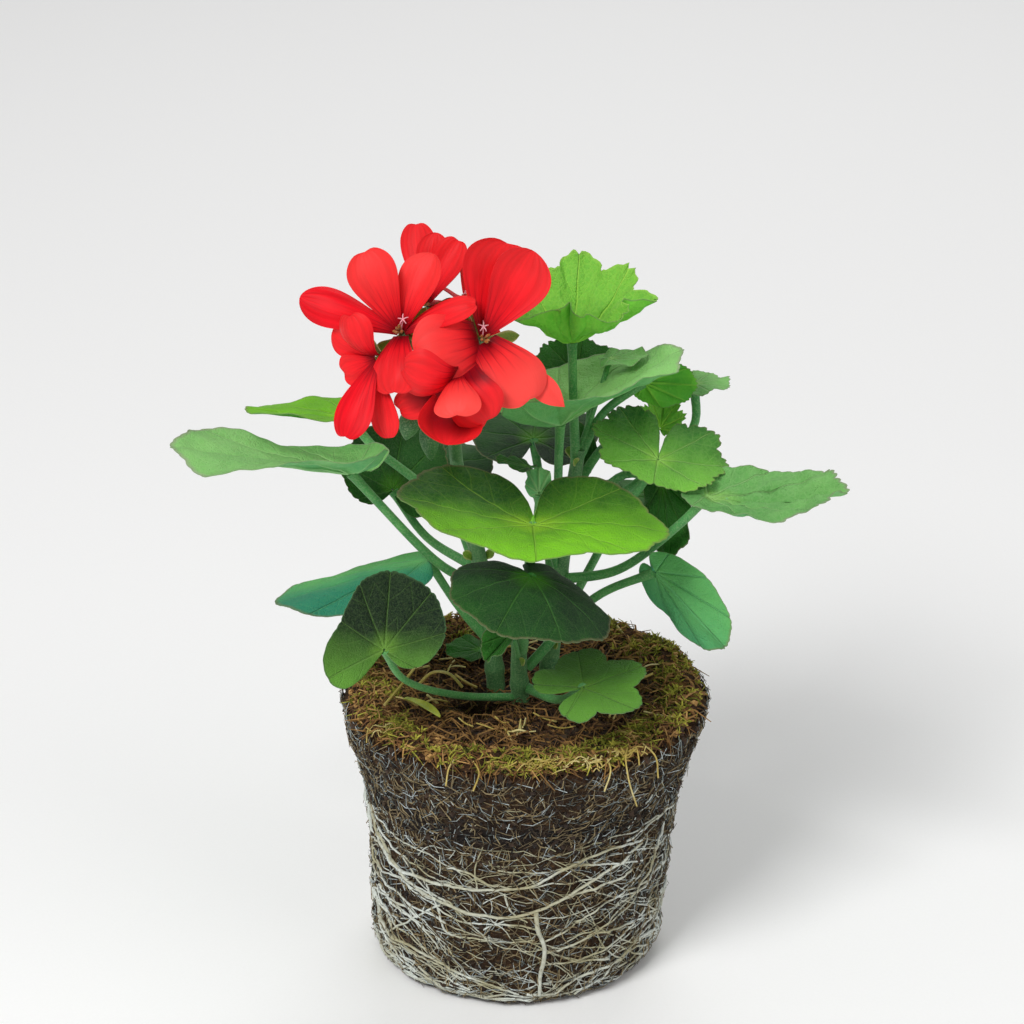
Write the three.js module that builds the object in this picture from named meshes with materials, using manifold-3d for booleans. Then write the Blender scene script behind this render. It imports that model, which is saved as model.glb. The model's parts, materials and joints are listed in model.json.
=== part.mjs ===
// Zonal-ivy hybrid geranium, lifted out of its pot: one flowering plant on its bare root ball.
// Millimetres, Z up, X to the right, Y to the back.
// The origin is the centre of the flat underside of the root ball.
import * as THREE from 'three';
import { mergeVertices } from 'three/addons/utils/BufferGeometryUtils.js';
import Module from 'manifold-3d';

const wasm = await Module();
wasm.setup();

// Driving dimensions of the root ball, cast by a 12 cm pot
const BALL_HEIGHT = 95;
const BALL_RADIUS = 61.5;
const BALL_LEAN = 3.2;
const BALL_SIDES = 36;
const SOIL_DEPTH = 9;
const MOSS_WIDTH = 17;
const MOSS_HEIGHT = 3;
const MOSS_WAVE = 0.03;

// Driving dimensions of the plant; a flare is how much thicker a stalk is at its foot
const CLEARANCE = 0.3;
const CARVE_TOLERANCE = 0.03;
const STEM_RADIUS = 3.3;
const STEM_TIP_RADIUS = 2.2;
const STEM_SIDES = 8;
const PETIOLE_RADIUS = 1.5;
const PETIOLE_FLARE = 1.25;
const PETIOLE_SIDES = 5;
const BLADE_THICKNESS = 0.9;
const HUB_RADIUS = 1.1;
const CUP_CURVE = 1.4;
const PEDUNCLE_RADIUS = 2.1;
const PEDUNCLE_FLARE = 1.15;
const PEDUNCLE_SIDES = 6;
const UMBEL_RADIUS = 3.2;
const PEDICEL_RADIUS = 0.9;
const PEDICEL_SIDES = 4;
const CALYX_RADIUS = 2;
const BUD_SIDES = 7;
const BUD_STEPS = 6;
const BUD_BELLY = 0.77;
const ROOT_RADIUS = 1;
const ROOT_TAPER = 0.7;
const ROOT_SIDES = 5;

// A petal starts as a narrow claw, widens late and has a blunt round tip.
const PETAL_THICKNESS = 0.8;
const CLAW_WIDTH = 2.2;
const PETAL_WIDENING = 1.9;
const PETAL_BLUNTNESS = 0.6;
const PETAL_REACH = 0.985;
const PETAL_SPREAD = 1.2;
const PETAL_CELLS = [4, 5];

// The plant faces the front, and its flowers and leaves are laid out as seen by someone
// who looks down on it by this many degrees.
const FRONT_TILT = 25;

// Colours
const PEAT = 0x3b2f25;
const MOSS = 0x8d8f26;
const ROOT = 0xc9bd9d;
const GREEN_STEM = 0x4c8a2c;
const DARK_LEAF = 0x2f5a2a;
const MID_LEAF = 0x4e8a26;
const YOUNG_LEAF = 0x86c63e;
const PALE_LEAF = 0x7fa878;
const PETAL_RED = 0xf4222f;

// Roughness of the surfaces
const SOIL_ROUGHNESS = 1;
const ROOT_ROUGHNESS = 0.9;
const STEM_ROUGHNESS = 0.7;
const LEAF_ROUGHNESS = 0.75;
const PETAL_ROUGHNESS = 0.55;

const rad = THREE.MathUtils.degToRad;
const point = (x, y, z) => new THREE.Vector3(x, y, z);

// A direction given as right, up and toward the viewer at the front, turned into X, Y and Z.
function seen([right, up, near]) {
  const tilt = rad(FRONT_TILT);
  return point(
    right,
    up * Math.sin(tilt) - near * Math.cos(tilt),
    up * Math.cos(tilt) + near * Math.sin(tilt));
}

// A closed three.js geometry as a solid that can be joined and cut.
function toSolid(geometry) {
  const bare = geometry.clone();
  bare.deleteAttribute('normal');
  bare.deleteAttribute('uv');
  const merged = mergeVertices(bare, 1e-4);
  const corners = merged.index.array;
  const faces = [];
  for (let i = 0; i < corners.length; i += 3) {
    const [a, b, c] = [corners[i], corners[i + 1], corners[i + 2]];
    if (a !== b && b !== c && c !== a) faces.push(a, b, c);
  }
  return new wasm.Manifold(new wasm.Mesh({
    numProp: 3,
    vertProperties: Float32Array.from(merged.attributes.position.array),
    triVerts: Uint32Array.from(faces),
  }));
}

function toGeometry(solid) {
  const mesh = solid.getMesh();
  const geometry = new THREE.BufferGeometry();
  const places = [];
  for (let i = 0; i < mesh.vertProperties.length; i += mesh.numProp) {
    places.push(mesh.vertProperties[i], mesh.vertProperties[i + 1], mesh.vertProperties[i + 2]);
  }
  geometry.setAttribute('position', new THREE.BufferAttribute(Float32Array.from(places), 3));
  geometry.setIndex(Array.from(mesh.triVerts));
  geometry.computeVertexNormals();
  return geometry;
}

// Moves every corner of a geometry to the place that the function gives for it.
function reshape(geometry, place) {
  const spots = geometry.attributes.position;
  for (let i = 0; i < spots.count; i += 1) {
    const moved = place(spots.getX(i), spots.getY(i), spots.getZ(i));
    spots.setXYZ(i, moved.x, moved.y, moved.z);
  }
  return geometry;
}

const plant = new THREE.Group();
const neighbours = [];

function addMesh(name, solid, colour, roughness) {
  const material = new THREE.MeshStandardMaterial({ color: colour, roughness, metalness: 0 });
  const mesh = new THREE.Mesh(toGeometry(solid), material);
  mesh.name = name;
  plant.add(mesh);
}

function boxesTouch(a, b) {
  return [0, 1, 2].every((axis) => a.min[axis] < b.max[axis] && b.min[axis] < a.max[axis]);
}

function largestPiece(solid) {
  return solid.decompose().reduce((best, piece) => (piece.volume() > best.volume() ? piece : best));
}

// Adds a piece that keeps the clearance to each piece before it.
// make(extra) builds the piece with its skin moved out by extra.
function addPiece(name, colour, roughness, make) {
  let body = make(0);
  for (const other of neighbours) {
    if (boxesTouch(body.boundingBox(), other.box)) body = body.subtract(other.grown);
  }
  body = largestPiece(body.simplify(CARVE_TOLERANCE));
  const grown = make(CLEARANCE);
  neighbours.push({ grown, box: grown.boundingBox() });
  addMesh(name, body, colour, roughness);
}

// A tapered round stalk along a smooth curve through the points.
function stalk(points, startRadius, endRadius, sides, steps) {
  const curve = new THREE.CatmullRomCurve3(points, false, 'centripetal');
  const frames = curve.computeFrenetFrames(steps, false);
  const geometry = new THREE.CylinderGeometry(1, 1, 1, sides, steps);
  return toSolid(reshape(geometry, (x, y, z) => {
    const along = y + 0.5;
    const step = Math.round(along * steps);
    const radius = THREE.MathUtils.lerp(startRadius, endRadius, along);
    return curve.getPointAt(along)
      .addScaledVector(frames.binormals[step], x * radius)
      .addScaledVector(frames.normals[step], z * radius);
  }));
}

function ball(centre, radius) {
  const geometry = new THREE.SphereGeometry(radius, 6, 4);
  geometry.translate(centre.x, centre.y, centre.z);
  return toSolid(geometry);
}

// How far along and how high a strip of length s reaches while its slope turns evenly
// from the start angle to the end angle over the whole reach.
function bend(s, reach, startAngle, endAngle) {
  const start = rad(startAngle);
  const turn = rad(endAngle - startAngle) / reach;
  if (Math.abs(turn) < 1e-6) return [s * Math.cos(start), s * Math.sin(start)];
  const slope = start + turn * s;
  return [(Math.sin(slope) - Math.sin(start)) / turn, (Math.cos(start) - Math.cos(slope)) / turn];
}

// The three directions of a leaf or petal: its length, its right side and its upper face.
function axesOf(tip, side) {
  const length = seen(tip).normalize();
  const across = seen(side);
  across.addScaledVector(length, -across.dot(length)).normalize();
  const face = point(0, 0, 0).crossVectors(length, across);
  return { length, across, face };
}

// One point of a leaf blade: around runs from -1 to 1 past the tip, out from 0 at the stalk to 1.
// extra moves the margin out by so much.
function bladePoint(leaf, axes, around, out, extra) {
  const front = seen(leaf.tip).length() + extra;
  const half = seen(leaf.side).length() + extra;
  const back = leaf.back + extra;
  const reach = (front + back) / 2;
  const angle = rad(180 - leaf.gap) * around;
  const lobe = Math.abs(Math.cos(leaf.lobes * angle / 2));
  const basal = Math.max(0, -Math.cos(angle)) ** 2 * (around > 0 ? leaf.basal[0] : leaf.basal[1]);
  const edge = out * (1 - leaf.depth * (1 - lobe) + basal - leaf.notch * around ** 8);
  const u = edge * (front - reach + reach * Math.cos(angle));
  const v = edge * half * Math.sin(angle) * (around > 0 ? 1 : leaf.offWidth);
  const ahead = Math.max(u, 0) / front;
  const flatter = 1 - leaf.open * Math.sqrt(ahead);
  const [fold, curl] = (v > 0 ? leaf.toSide : leaf.offSide).map((slope) => slope * flatter);
  const [reachNow, curlNow] = u > 0 ? [front, leaf.tipCurl] : [back, leaf.backCurl];
  const [along, rise] = bend(Math.abs(u), reachNow, 0, curlNow);
  const [across, lift] = bend(Math.abs(v), half, fold, curl);
  const roll = rad(leaf.twist) * (1 - ahead ** 2);
  const sideways = Math.sign(v) * across;
  const height = lift + leaf.cup * out ** CUP_CURVE;
  return leaf.place.clone()
    .addScaledVector(axes.length, Math.sign(u) * along)
    .addScaledVector(axes.across, sideways * Math.cos(roll) - height * Math.sin(roll))
    .addScaledVector(axes.face, sideways * Math.sin(roll) + height * Math.cos(roll) + rise);
}

// A thin closed sheet over a surface function of two numbers.
function sheet(surface, geometry, thickness) {
  const step = 1e-3;
  return toSolid(reshape(geometry, (x, y, z) => {
    const here = surface(x, y);
    const alongX = surface(x + step, y).sub(surface(x - step, y));
    const alongY = surface(x, y + step).sub(surface(x, y - step));
    const normal = point(0, 0, 0).crossVectors(alongX, alongY).normalize();
    return here.addScaledVector(normal, z * thickness);
  }));
}

function blade(leaf, extra) {
  const axes = axesOf(leaf.tip, leaf.side);
  const hub = HUB_RADIUS / Math.max(seen(leaf.tip).length(), seen(leaf.side).length(), leaf.back);
  const geometry = new THREE.BoxGeometry(2, 1, 1, leaf.cells[0], leaf.cells[1], 1);
  const surface = (x, y) => bladePoint(leaf, axes, x, hub + (1 - hub) * (y + 0.5), extra);
  return sheet(surface, geometry, BLADE_THICKNESS + 2 * extra);
}

// A leaf is its blade and its petiole, grown as one piece.
function leafSolid(leaf, extra) {
  const route = [...leaf.from, leaf.place];
  const foot = leaf.stalk * PETIOLE_FLARE;
  const petiole = stalk(route, foot + extra, leaf.stalk + extra, PETIOLE_SIDES, leaf.steps);
  return petiole.add(blade(leaf, extra));
}

// toSide and offSide give the slope at the midrib and at the margin, in degrees, of the half
// on the side that the leaf names and of the other half; open flattens these towards the tip.
// basal lengthens the two basal lobes, notch rounds them at the sinus between them, and
// offWidth widens the other half.
const PLAIN_LEAF = {
  back: 20, gap: 8, lobes: 8, depth: 0.07, basal: [0, 0], notch: 0.25, cup: 0, twist: 0, open: 0, offWidth: 1,
  toSide: [0, 0], offSide: [0, 0], tipCurl: 0, backCurl: 0,
  cells: [14, 2], steps: 5, stalk: PETIOLE_RADIUS, colour: DARK_LEAF,
};

function addLeaf(name, shape) {
  const leaf = { ...PLAIN_LEAF, ...shape };
  addPiece(name, leaf.colour, LEAF_ROUGHNESS, (extra) => leafSolid(leaf, extra));
}

// One point of a petal: across runs from -0.5 to 0.5, along from 0 at the claw to 1 at the tip.
function petalPoint(petal, base, axes, across, along, extra) {
  const reach = seen(petal.tip).length() + extra;
  const bulge = Math.sin(Math.PI * along ** PETAL_WIDENING) ** PETAL_BLUNTNESS;
  const width = CLAW_WIDTH * (1 - along) + petal.width * bulge + 2 * extra;
  const v = across * width;
  const roll = rad(petal.twist) * along;
  const height = petal.cup * (2 * across) ** 2 * bulge;
  const arch = petal.bow * 4 * along * (1 - along);
  return base.clone()
    .addScaledVector(axes.length, reach * along)
    .addScaledVector(axes.across, v * Math.cos(roll) - height * Math.sin(roll))
    .addScaledVector(axes.face, v * Math.sin(roll) + height * Math.cos(roll) + arch);
}

function petalSolid(floret, petal, extra) {
  const axes = petalAxes(floret, petal);
  const base = floret.place.clone().addScaledVector(axes.length, CLAW_WIDTH / 2 - extra);
  const geometry = new THREE.BoxGeometry(1, 1, 1, ...PETAL_CELLS, 1);
  const reached = (y) => PETAL_REACH * (1 - THREE.MathUtils.clamp(0.5 - y, 0, 1) ** PETAL_SPREAD);
  const surface = (x, y) => petalPoint(petal, base, axes, x, reached(y), extra);
  return sheet(surface, geometry, PETAL_THICKNESS + 2 * extra);
}

function petalAxes(floret, petal) {
  const length = seen(petal.tip).normalize();
  const face = seen(petal.face ?? floret.face);
  face.addScaledVector(length, -face.dot(length)).normalize();
  const across = point(0, 0, 0).crossVectors(face, length);
  return { length, across, face };
}

// The stems that carry the leaves; each stands in its own hole in the peat
const STEM_BASE = BALL_HEIGHT - SOIL_DEPTH;
const STEMS = {
  stem_left: [point(-6, 3, STEM_BASE), point(-9, 3, 122), point(-13, 2, 146), point(-17, 4, 160)],
  stem_front: [point(2, -6, STEM_BASE), point(1, -9, 112), point(2, -14, 128), point(3, -17, 139)],
  stem_right: [point(10, 4, STEM_BASE), point(13, 4, 120), point(17, 5, 155), point(21, 5, 184)],
};

function stemSolid(points, extra) {
  return stalk(points, STEM_RADIUS + extra, STEM_TIP_RADIUS + extra, STEM_SIDES, STEM_SIDES);
}

function addStems() {
  for (const [name, points] of Object.entries(STEMS)) {
    addPiece(name, GREEN_STEM, STEM_ROUGHNESS, (extra) => stemSolid(points, extra));
  }
}

// The root ball is fibrous peat that kept the shape of the pot, with the pot's lip near the top.
// Its outline runs from the middle of the underside to the middle of the top.
const BALL_OUTLINE = [
  [0, 0], [0.7, 0], [0.77, 0.02], [0.8, 0.07], [0.82, 0.32], [0.855, 0.62], [0.88, 0.7],
  [0.92, 0.79], [0.985, 0.925], [1, 0.975], [0.95, 1], [0, 1],
].map(([out, up]) => new THREE.Vector2(out * BALL_RADIUS, up * BALL_HEIGHT));

function ballSolid() {
  const geometry = new THREE.LatheGeometry(BALL_OUTLINE, BALL_SIDES);
  return toSolid(reshape(geometry, (x, y, z) => point(x + BALL_LEAN * y / BALL_HEIGHT, -z, y)));
}

function addRootBall() {
  const cuts = Object.values(STEMS).map((points) => stemSolid(points, CLEARANCE));
  const body = cuts.reduce((left, cut) => left.subtract(cut), ballSolid());
  addMesh('root_ball', body, PEAT, SOIL_ROUGHNESS);
}

// A ring of moss that lies on the peat along the rim
function addMoss() {
  const base = BALL_HEIGHT + CLEARANCE;
  const outer = BALL_RADIUS - 2;
  const inner = outer - MOSS_WIDTH;
  const profile = [[0, 0], [1, 0], [0.94, 0.7], [0.7, 1], [0.25, 0.7], [0, 0]]
    .map(([out, up]) => new THREE.Vector2(inner + out * MOSS_WIDTH, base + up * MOSS_HEIGHT));
  const geometry = new THREE.LatheGeometry(profile, BALL_SIDES);
  const place = (x, y, z) => {
    const angle = Math.atan2(z, x);
    const wander = 1 + MOSS_WAVE * (Math.sin(5 * angle) + Math.cos(8 * angle) / 2);
    const spread = Math.hypot(x, z) < inner + MOSS_WIDTH / 2 ? wander : 1;
    return point(x * spread + BALL_LEAN, -z * spread, y);
  };
  addMesh('moss_mat', toSolid(reshape(geometry, place)), MOSS, SOIL_ROUGHNESS);
}

// The radius of the ball's side at a height
function sideRadius(height) {
  const above = BALL_OUTLINE.findIndex((corner) => corner.y > height);
  const [low, high] = [BALL_OUTLINE[above - 1], BALL_OUTLINE[above]];
  return THREE.MathUtils.mapLinear(height, low.y, high.y, low.x, high.x);
}

// A root laid on the side of the ball; angle 0 is the front, and it grows to the right
function rootSolid(route, radius) {
  const points = route.map(([angle, height]) => {
    const out = sideRadius(height) + CLEARANCE + radius;
    const lean = BALL_LEAN * height / BALL_HEIGHT;
    return point(lean + out * Math.sin(rad(angle)), -out * Math.cos(rad(angle)), height);
  });
  return stalk(points, radius, radius * ROOT_TAPER, ROOT_SIDES, route.length * 2);
}

function addRoots() {
  const girdling = rootSolid(
    [[-78, 60], [-62, 50], [-46, 42], [-30, 38.5], [-14, 37], [2, 38], [16, 44], [32, 50], [50, 56]],
    ROOT_RADIUS);
  const branch = rootSolid([[16, 44], [24, 45], [34, 45.5], [46, 47]], ROOT_RADIUS * ROOT_TAPER);
  const downward = rootSolid([[6, 39], [7, 32], [10, 24], [9, 15], [9, 5]], ROOT_RADIUS);
  addMesh('surface_root', girdling.add(branch).add(downward), ROOT, ROOT_ROUGHNESS);
}

// The flowering umbel; its petals are listed in the order in which they are added
const UMBEL = point(-19.7, -25, 213);
const PEDUNCLE = [point(-11, 2, 140), point(-16, -5, 168), point(-19.5, -12, 187), UMBEL];
const FLORET_LIFT = point(0, 0, 2);
const BUD_LIFT = point(0, -2, 3);
const FLORETS = [
  {
    name: 'floret_left', place: point(-36.2, -38, 243), face: [-0.3, 0.25, 0.92],
    petals: [
      { tip: [-11.6, 25.6, 3], width: 14.5, bow: 2, cup: 1.5 },
      { tip: [9.7, 24, 2], width: 13, bow: 2, cup: 2 },
      { tip: [23.5, 9, 4], width: 11, bow: 2, twist: -35 },
      { tip: [-4, -18.4, 6], width: 12, bow: 3 },
      { tip: [-31, 11, 1], width: 11, bow: 3, cup: -3 },
    ],
  },
  {
    name: 'floret_low_left', place: point(-43.5, -44, 237.1), face: [-0.5, -0.35, 0.8],
    petals: [
      { tip: [-10.3, -25, 4], width: 11, bow: 2, cup: -1.5 },
      { tip: [3.3, -25.3, -3], width: 9, bow: 1 },
      { tip: [-13.7, 8, -4], width: 10, bow: 1 },
      { tip: [-11, -4.5, -6], width: 9, bow: 1 },
      { tip: [-8.7, 12.7, 8], width: 11, bow: 4, cup: -3 },
    ],
  },
  {
    name: 'floret_right', place: point(-11, -36, 239.8), face: [0.35, 0.1, 0.93],
    petals: [
      { tip: [16, 27.3, 1], width: 19, bow: 2.5, cup: 2.5 },
      { tip: [8.5, 31, -4], width: 21, bow: 2.5, cup: 2 },
      { tip: [17, -17, 6], width: 16, bow: 3 },
      { tip: [25.6, -20.5, 0], width: 9, bow: 2 },
      { tip: [-21.3, -3.5, 6], width: 14, bow: 4, cup: -2 },
    ],
  },
  {
    name: 'floret_behind', place: point(-16, -10, 240.6), face: [0, 0.6, -0.3],
    petals: [
      { tip: [3.7, 14.7, -4], width: 12, bow: 1 },
      { tip: [-10, 8, -15], width: 12, bow: 1 },
      { tip: [13, 2, -14], width: 12, bow: 1 },
      { tip: [-9, -10, -12], width: 10, bow: 1 },
      { tip: [8, -12, -12], width: 10, bow: 1 },
    ],
  },
  {
    name: 'floret_front', place: point(-18, -48, 233), face: [-0.1, -0.5, 0.85],
    petals: [
      { tip: [-17, 2, 6], width: 13, bow: 5, cup: -4 },
      { tip: [-19, -10.7, -5], width: 10, bow: 2 },
      { tip: [-3.7, -21, 3], width: 15, bow: -3, cup: 4 },
      { tip: [2.3, -12.5, 11], width: 12, bow: 2, cup: -2 },
      { tip: [9, -14.5, 4], width: 12, bow: 3, cup: -2 },
    ],
  },
  {
    name: 'floret_back', place: point(-29.4, -9, 240.5), face: [0, 0.3, 0.9],
    petals: [
      { tip: [3.5, 22.7, 0], width: 10, bow: 1, cup: 1.5 },
      { tip: [11, 21, 4], width: 11, bow: 1, cup: 1.5 },
      { tip: [-3, 27, -6], width: 11, bow: 1 },
      { tip: [-14, 6, -16], width: 11, bow: 1, face: [0, 0.9, 0.3] },
      { tip: [8, 2, -19], width: 11, bow: 1, face: [0, 0.9, 0.3] },
    ],
  },
];
const BUDS = [
  { top: point(-33.5, -28, 212), tip: point(-35.5, -29, 202), radius: 3.6 },
  { top: point(-28.5, -24, 206.5), tip: point(-27.5, -24, 192.5), radius: 3.2 },
];

function budSolid(bud, extra) {
  const length = bud.top.distanceTo(bud.tip);
  const profile = [];
  for (let i = 0; i <= BUD_STEPS; i += 1) {
    const share = i / BUD_STEPS;
    const radius = Math.sin(Math.PI * share ** BUD_BELLY) ** BUD_BELLY * (bud.radius + extra);
    profile.push(new THREE.Vector2(i % BUD_STEPS ? radius : 0, share * (length + 2 * extra) - extra));
  }
  const geometry = new THREE.LatheGeometry(profile, BUD_SIDES);
  const turn = new THREE.Quaternion()
    .setFromUnitVectors(point(0, 1, 0), bud.tip.clone().sub(bud.top).normalize());
  geometry.applyQuaternion(turn);
  geometry.translate(bud.top.x, bud.top.y, bud.top.z);
  return toSolid(geometry);
}

// A pedicel runs from the umbel to a floret or bud and bows upward by the lift.
function pedicelSolid(end, lift, extra) {
  const middle = UMBEL.clone().lerp(end, 0.5).add(lift);
  const radius = PEDICEL_RADIUS + extra;
  return stalk([UMBEL, middle, end], radius, radius, PEDICEL_SIDES, PEDICEL_SIDES);
}

// The peduncle, its pedicels, the calyx behind each floret and the buds grew as one piece.
function flowerStalkSolid(extra) {
  const foot = PEDUNCLE_RADIUS * PEDUNCLE_FLARE;
  let body = stalk(PEDUNCLE, foot + extra, PEDUNCLE_RADIUS + extra, PEDUNCLE_SIDES, STEM_SIDES);
  body = body.add(ball(UMBEL, UMBEL_RADIUS + extra));
  for (const floret of FLORETS) {
    const calyx = floret.place.clone().addScaledVector(seen(floret.face).normalize(), -CALYX_RADIUS);
    body = body.add(pedicelSolid(calyx, FLORET_LIFT, extra)).add(ball(calyx, CALYX_RADIUS + extra));
  }
  for (const bud of BUDS) {
    const into = bud.top.clone().lerp(bud.tip, 0.15);
    body = body.add(pedicelSolid(into, BUD_LIFT, extra)).add(budSolid(bud, extra));
  }
  return body;
}

function addFlowers() {
  addPiece('flower_stalk', GREEN_STEM, STEM_ROUGHNESS, flowerStalkSolid);
  for (const floret of FLORETS) {
    floret.petals.forEach((shape, index) => {
      const petal = { twist: 0, cup: 0, bow: 0, ...shape };
      const name = `${floret.name}_petal_${index + 1}`;
      addPiece(name, PETAL_RED, PETAL_ROUGHNESS, (extra) => petalSolid(floret, petal, extra));
    });
  }
}

function addLeaves() {
  addLeaf('leaf_front_large', {
    from: [point(2, -12, 124), point(4, -24, 150)], place: point(5.5, -38, 175.7),
    tip: [1, -10.5, 27], side: [45, -1, 0], back: 32, gap: 3, depth: 0.05, notch: 0.4,
    tipCurl: -12, backCurl: 40, toSide: [6, -20], offSide: [8, 14], cup: 2, cells: [22, 3], stalk: 1.8,
    colour: MID_LEAF,
  });
  addLeaf('leaf_front_lower', {
    from: [point(2, -10, 116), point(3, -26, 134)], place: point(4.8, -46, 161.3),
    tip: [12, -14, 24], side: [26, 1, -14], back: 22, gap: 6,
    tipCurl: -35, backCurl: -25, offSide: [0, -25], toSide: [-5, -40], cells: [18, 3],
  });
  addLeaf('leaf_left_low', {
    from: [point(0, -8, 104), point(-20, -22, 110), point(-37, -37, 121)], place: point(-43, -45, 134.3),
    tip: [2, 26, -4], side: [-14.5, 1, 3], back: 12, gap: 24, basal: [0.75, -0.3], depth: 0.14,
    offWidth: 1.35, toSide: [0, 20], offSide: [0, 20], cells: [18, 2],
  });
  addLeaf('leaf_left_edge', {
    from: [point(-8, 3, 112), point(-19, -1, 128)], place: point(-29.4, -4, 147.2),
    tip: [-51, -14, 4], side: [0, -4, 15], back: 12, backCurl: 40, toSide: [-8, -65],
    cells: [18, 3],
  });
  addLeaf('leaf_left_far', {
    from: [point(-12, 3, 134), point(-25.9, -8, 148), point(-46.8, -12, 173.7)],
    place: point(-54.5, -12, 183.1),
    tip: [-59, 6, 8], side: [0, -14.5, 16.5], back: 20, tipCurl: 6, backCurl: 100, twist: 36, open: 1,
    toSide: [22, 20], offSide: [26, 24], cells: [18, 3], colour: PALE_LEAF,
  });
  addLeaf('leaf_left_upper', {
    from: [point(-15, 3, 152), point(-30.7, 6, 169.4), point(-47.7, 10, 182.6)],
    place: point(-54.6, 12, 191.2),
    tip: [-36, 3, -3], side: [0, -1, 13], back: 12, backCurl: 40, offSide: [60, 40], toSide: [5, 0],
    open: 0.8, basal: [0, 0.5], colour: MID_LEAF,
  });
  addLeaf('leaf_behind_left', {
    from: [point(-12, 3, 140), point(-30, 12, 148)], place: point(-41.7, 16, 163.7),
    tip: [4, 24, -10], side: [-19, 0, 0], back: 12, gap: 20, basal: [-0.2, 0.2],
  });
  addLeaf('leaf_young_top', {
    from: [point(20, 5, 178), point(19, 3, 200)], place: point(18.4, 4, 223),
    tip: [3, 8, -26], side: [-27, 0, 0], back: 16, gap: 4, tipCurl: 50, cup: 14, lobes: 8, depth: 0.24,
    cells: [24, 2], colour: YOUNG_LEAF,
  });
  addLeaf('leaf_upper_large', {
    from: [point(15, 4, 146), point(14, -2, 172)], place: point(14.5, -4, 197.1),
    tip: [42, 22, -6], side: [0, 10, -22], back: 25, gap: 5, cup: 3, backCurl: 65, open: 1,
    toSide: [30, 25], offSide: [42, 35], cells: [18, 3], colour: PALE_LEAF,
  });
  addLeaf('leaf_right_toothed', {
    from: [point(17, 5, 158), point(36, 0, 166)], place: point(46.8, -6, 184.7),
    tip: [-2, -9, 9], side: [23, -7, -1], back: 25, gap: 3, depth: 0.1, backCurl: 10,
    cells: [18, 2], colour: MID_LEAF,
  });
  addLeaf('leaf_right_long', {
    from: [point(14, 4, 136), point(34, -3, 143), point(54.3, -10, 163.3)], place: point(62.9, -12, 174),
    tip: [46, -12, 6], side: [3, 7, -13], back: 12, tipCurl: 40, backCurl: 20, toSide: [15, 10],
    offSide: [10, 5], cells: [18, 3], colour: PALE_LEAF,
  });
  addLeaf('leaf_right_low', {
    from: [point(4, -6, 108), point(25.8, -6, 133.6)], place: point(46, -18, 149.5),
    tip: [23, -25, 6], side: [8.5, 7, 3], back: 8, offSide: [-35, -35], toSide: [-20, -25],
  });
  addLeaf('leaf_right_hanging', {
    from: [point(16, 5, 150), point(36, 10, 172)], place: point(49, 8, 171),
    tip: [3, -26, 3], side: [8, 1, 6], back: 4,
  });
  addLeaf('leaf_base_front', {
    from: [point(4, -8, 101), point(14, -24, 105)], place: point(22.2, -42, 118.8),
    tip: [16, 9, -9], side: [-18, 5, -9], back: 17, gap: 14, lobes: 5, depth: 0.14,
  });
  addLeaf('leaf_base_curled', {
    from: [point(1, -9, 112), point(0, -18, 122)], place: point(-1.3, -22, 128.6),
    tip: [-9, -9, 5], side: [5, -4, 4], back: 4, offSide: [30, 60], toSide: [30, 60], stalk: 0.9,
    cells: [10, 2],
  });
  addLeaf('leaf_back_toothed', {
    from: [point(20, 6, 176), point(25, 22, 190)], place: point(20.4, 24, 201.9),
    tip: [2, 14, -6], side: [-17, 0, 0], back: 10, depth: 0.12,
  });
  addLeaf('leaf_back_right', {
    from: [point(17, 6, 154), point(46, 18, 170), point(60, 24, 184)], place: point(59.9, 28, 197.4),
    tip: [12, 2, -4], side: [0, 4, -10], back: 10, cells: [10, 2], colour: PALE_LEAF,
  });
  addLeaf('leaf_upper_right', {
    from: [point(21, 5, 181), point(29, 9, 195)], place: point(42.6, 14, 204),
    tip: [18, -1, 2], side: [0, -8, -2], back: 6, cells: [12, 2],
  });
  addLeaf('leaf_centre_folded', {
    from: [point(15, 5, 150), point(17, 13, 160)], place: point(20.5, 16, 171.3),
    tip: [0, 17, -4], side: [-5, 0, 5], back: 4, offSide: [30, 50], toSide: [30, 50], stalk: 1.2,
    cells: [10, 2],
  });
  addLeaf('young_shoot', {
    from: [point(18, 6, 166), point(32, 20, 180)], place: point(48.5, 22, 183.6),
    tip: [2, 13, -4], side: [-9, 1, 0], back: 4, toSide: [35, 20], offSide: [30, 20], depth: 0.2,
    cells: [12, 2], colour: YOUNG_LEAF,
  });
  addLeaf('leaf_rear_left', {
    from: [point(-10, 3, 128), point(-20, 26, 148)], place: point(-30, 44, 160),
    tip: [-8, 16, -24], side: [-22, -2, 8], back: 24, tipCurl: -25,
  });
  addLeaf('leaf_rear_centre', {
    from: [point(13, 4, 122), point(10, 24, 150)], place: point(6, 44, 170),
    tip: [2, 18, -24], side: [-26, 0, 0], back: 26, tipCurl: -20,
  });
  addLeaf('leaf_rear_right', {
    from: [point(12, 4, 114), point(26, 24, 132)], place: point(38, 40, 150),
    tip: [14, 10, -22], side: [-18, 4, -14], back: 22, tipCurl: -25,
  });
}

addStems();
addRootBall();
addMoss();
addRoots();
addFlowers();
addLeaves();

export default plant;
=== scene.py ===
# %% [markdown]
# This lesson builds a flowering geranium that was lifted out of its pot: red flowers on long
# stalks, velvety round leaves, and a root ball of peat held together by white roots.
# Everything is measured in millimetres in the code and turned into metres when a mesh is made,
# because Blender and the frame that the piece has to fit both count in metres.

import json
import math

import bpy
import numpy as np
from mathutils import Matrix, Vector, noise

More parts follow.
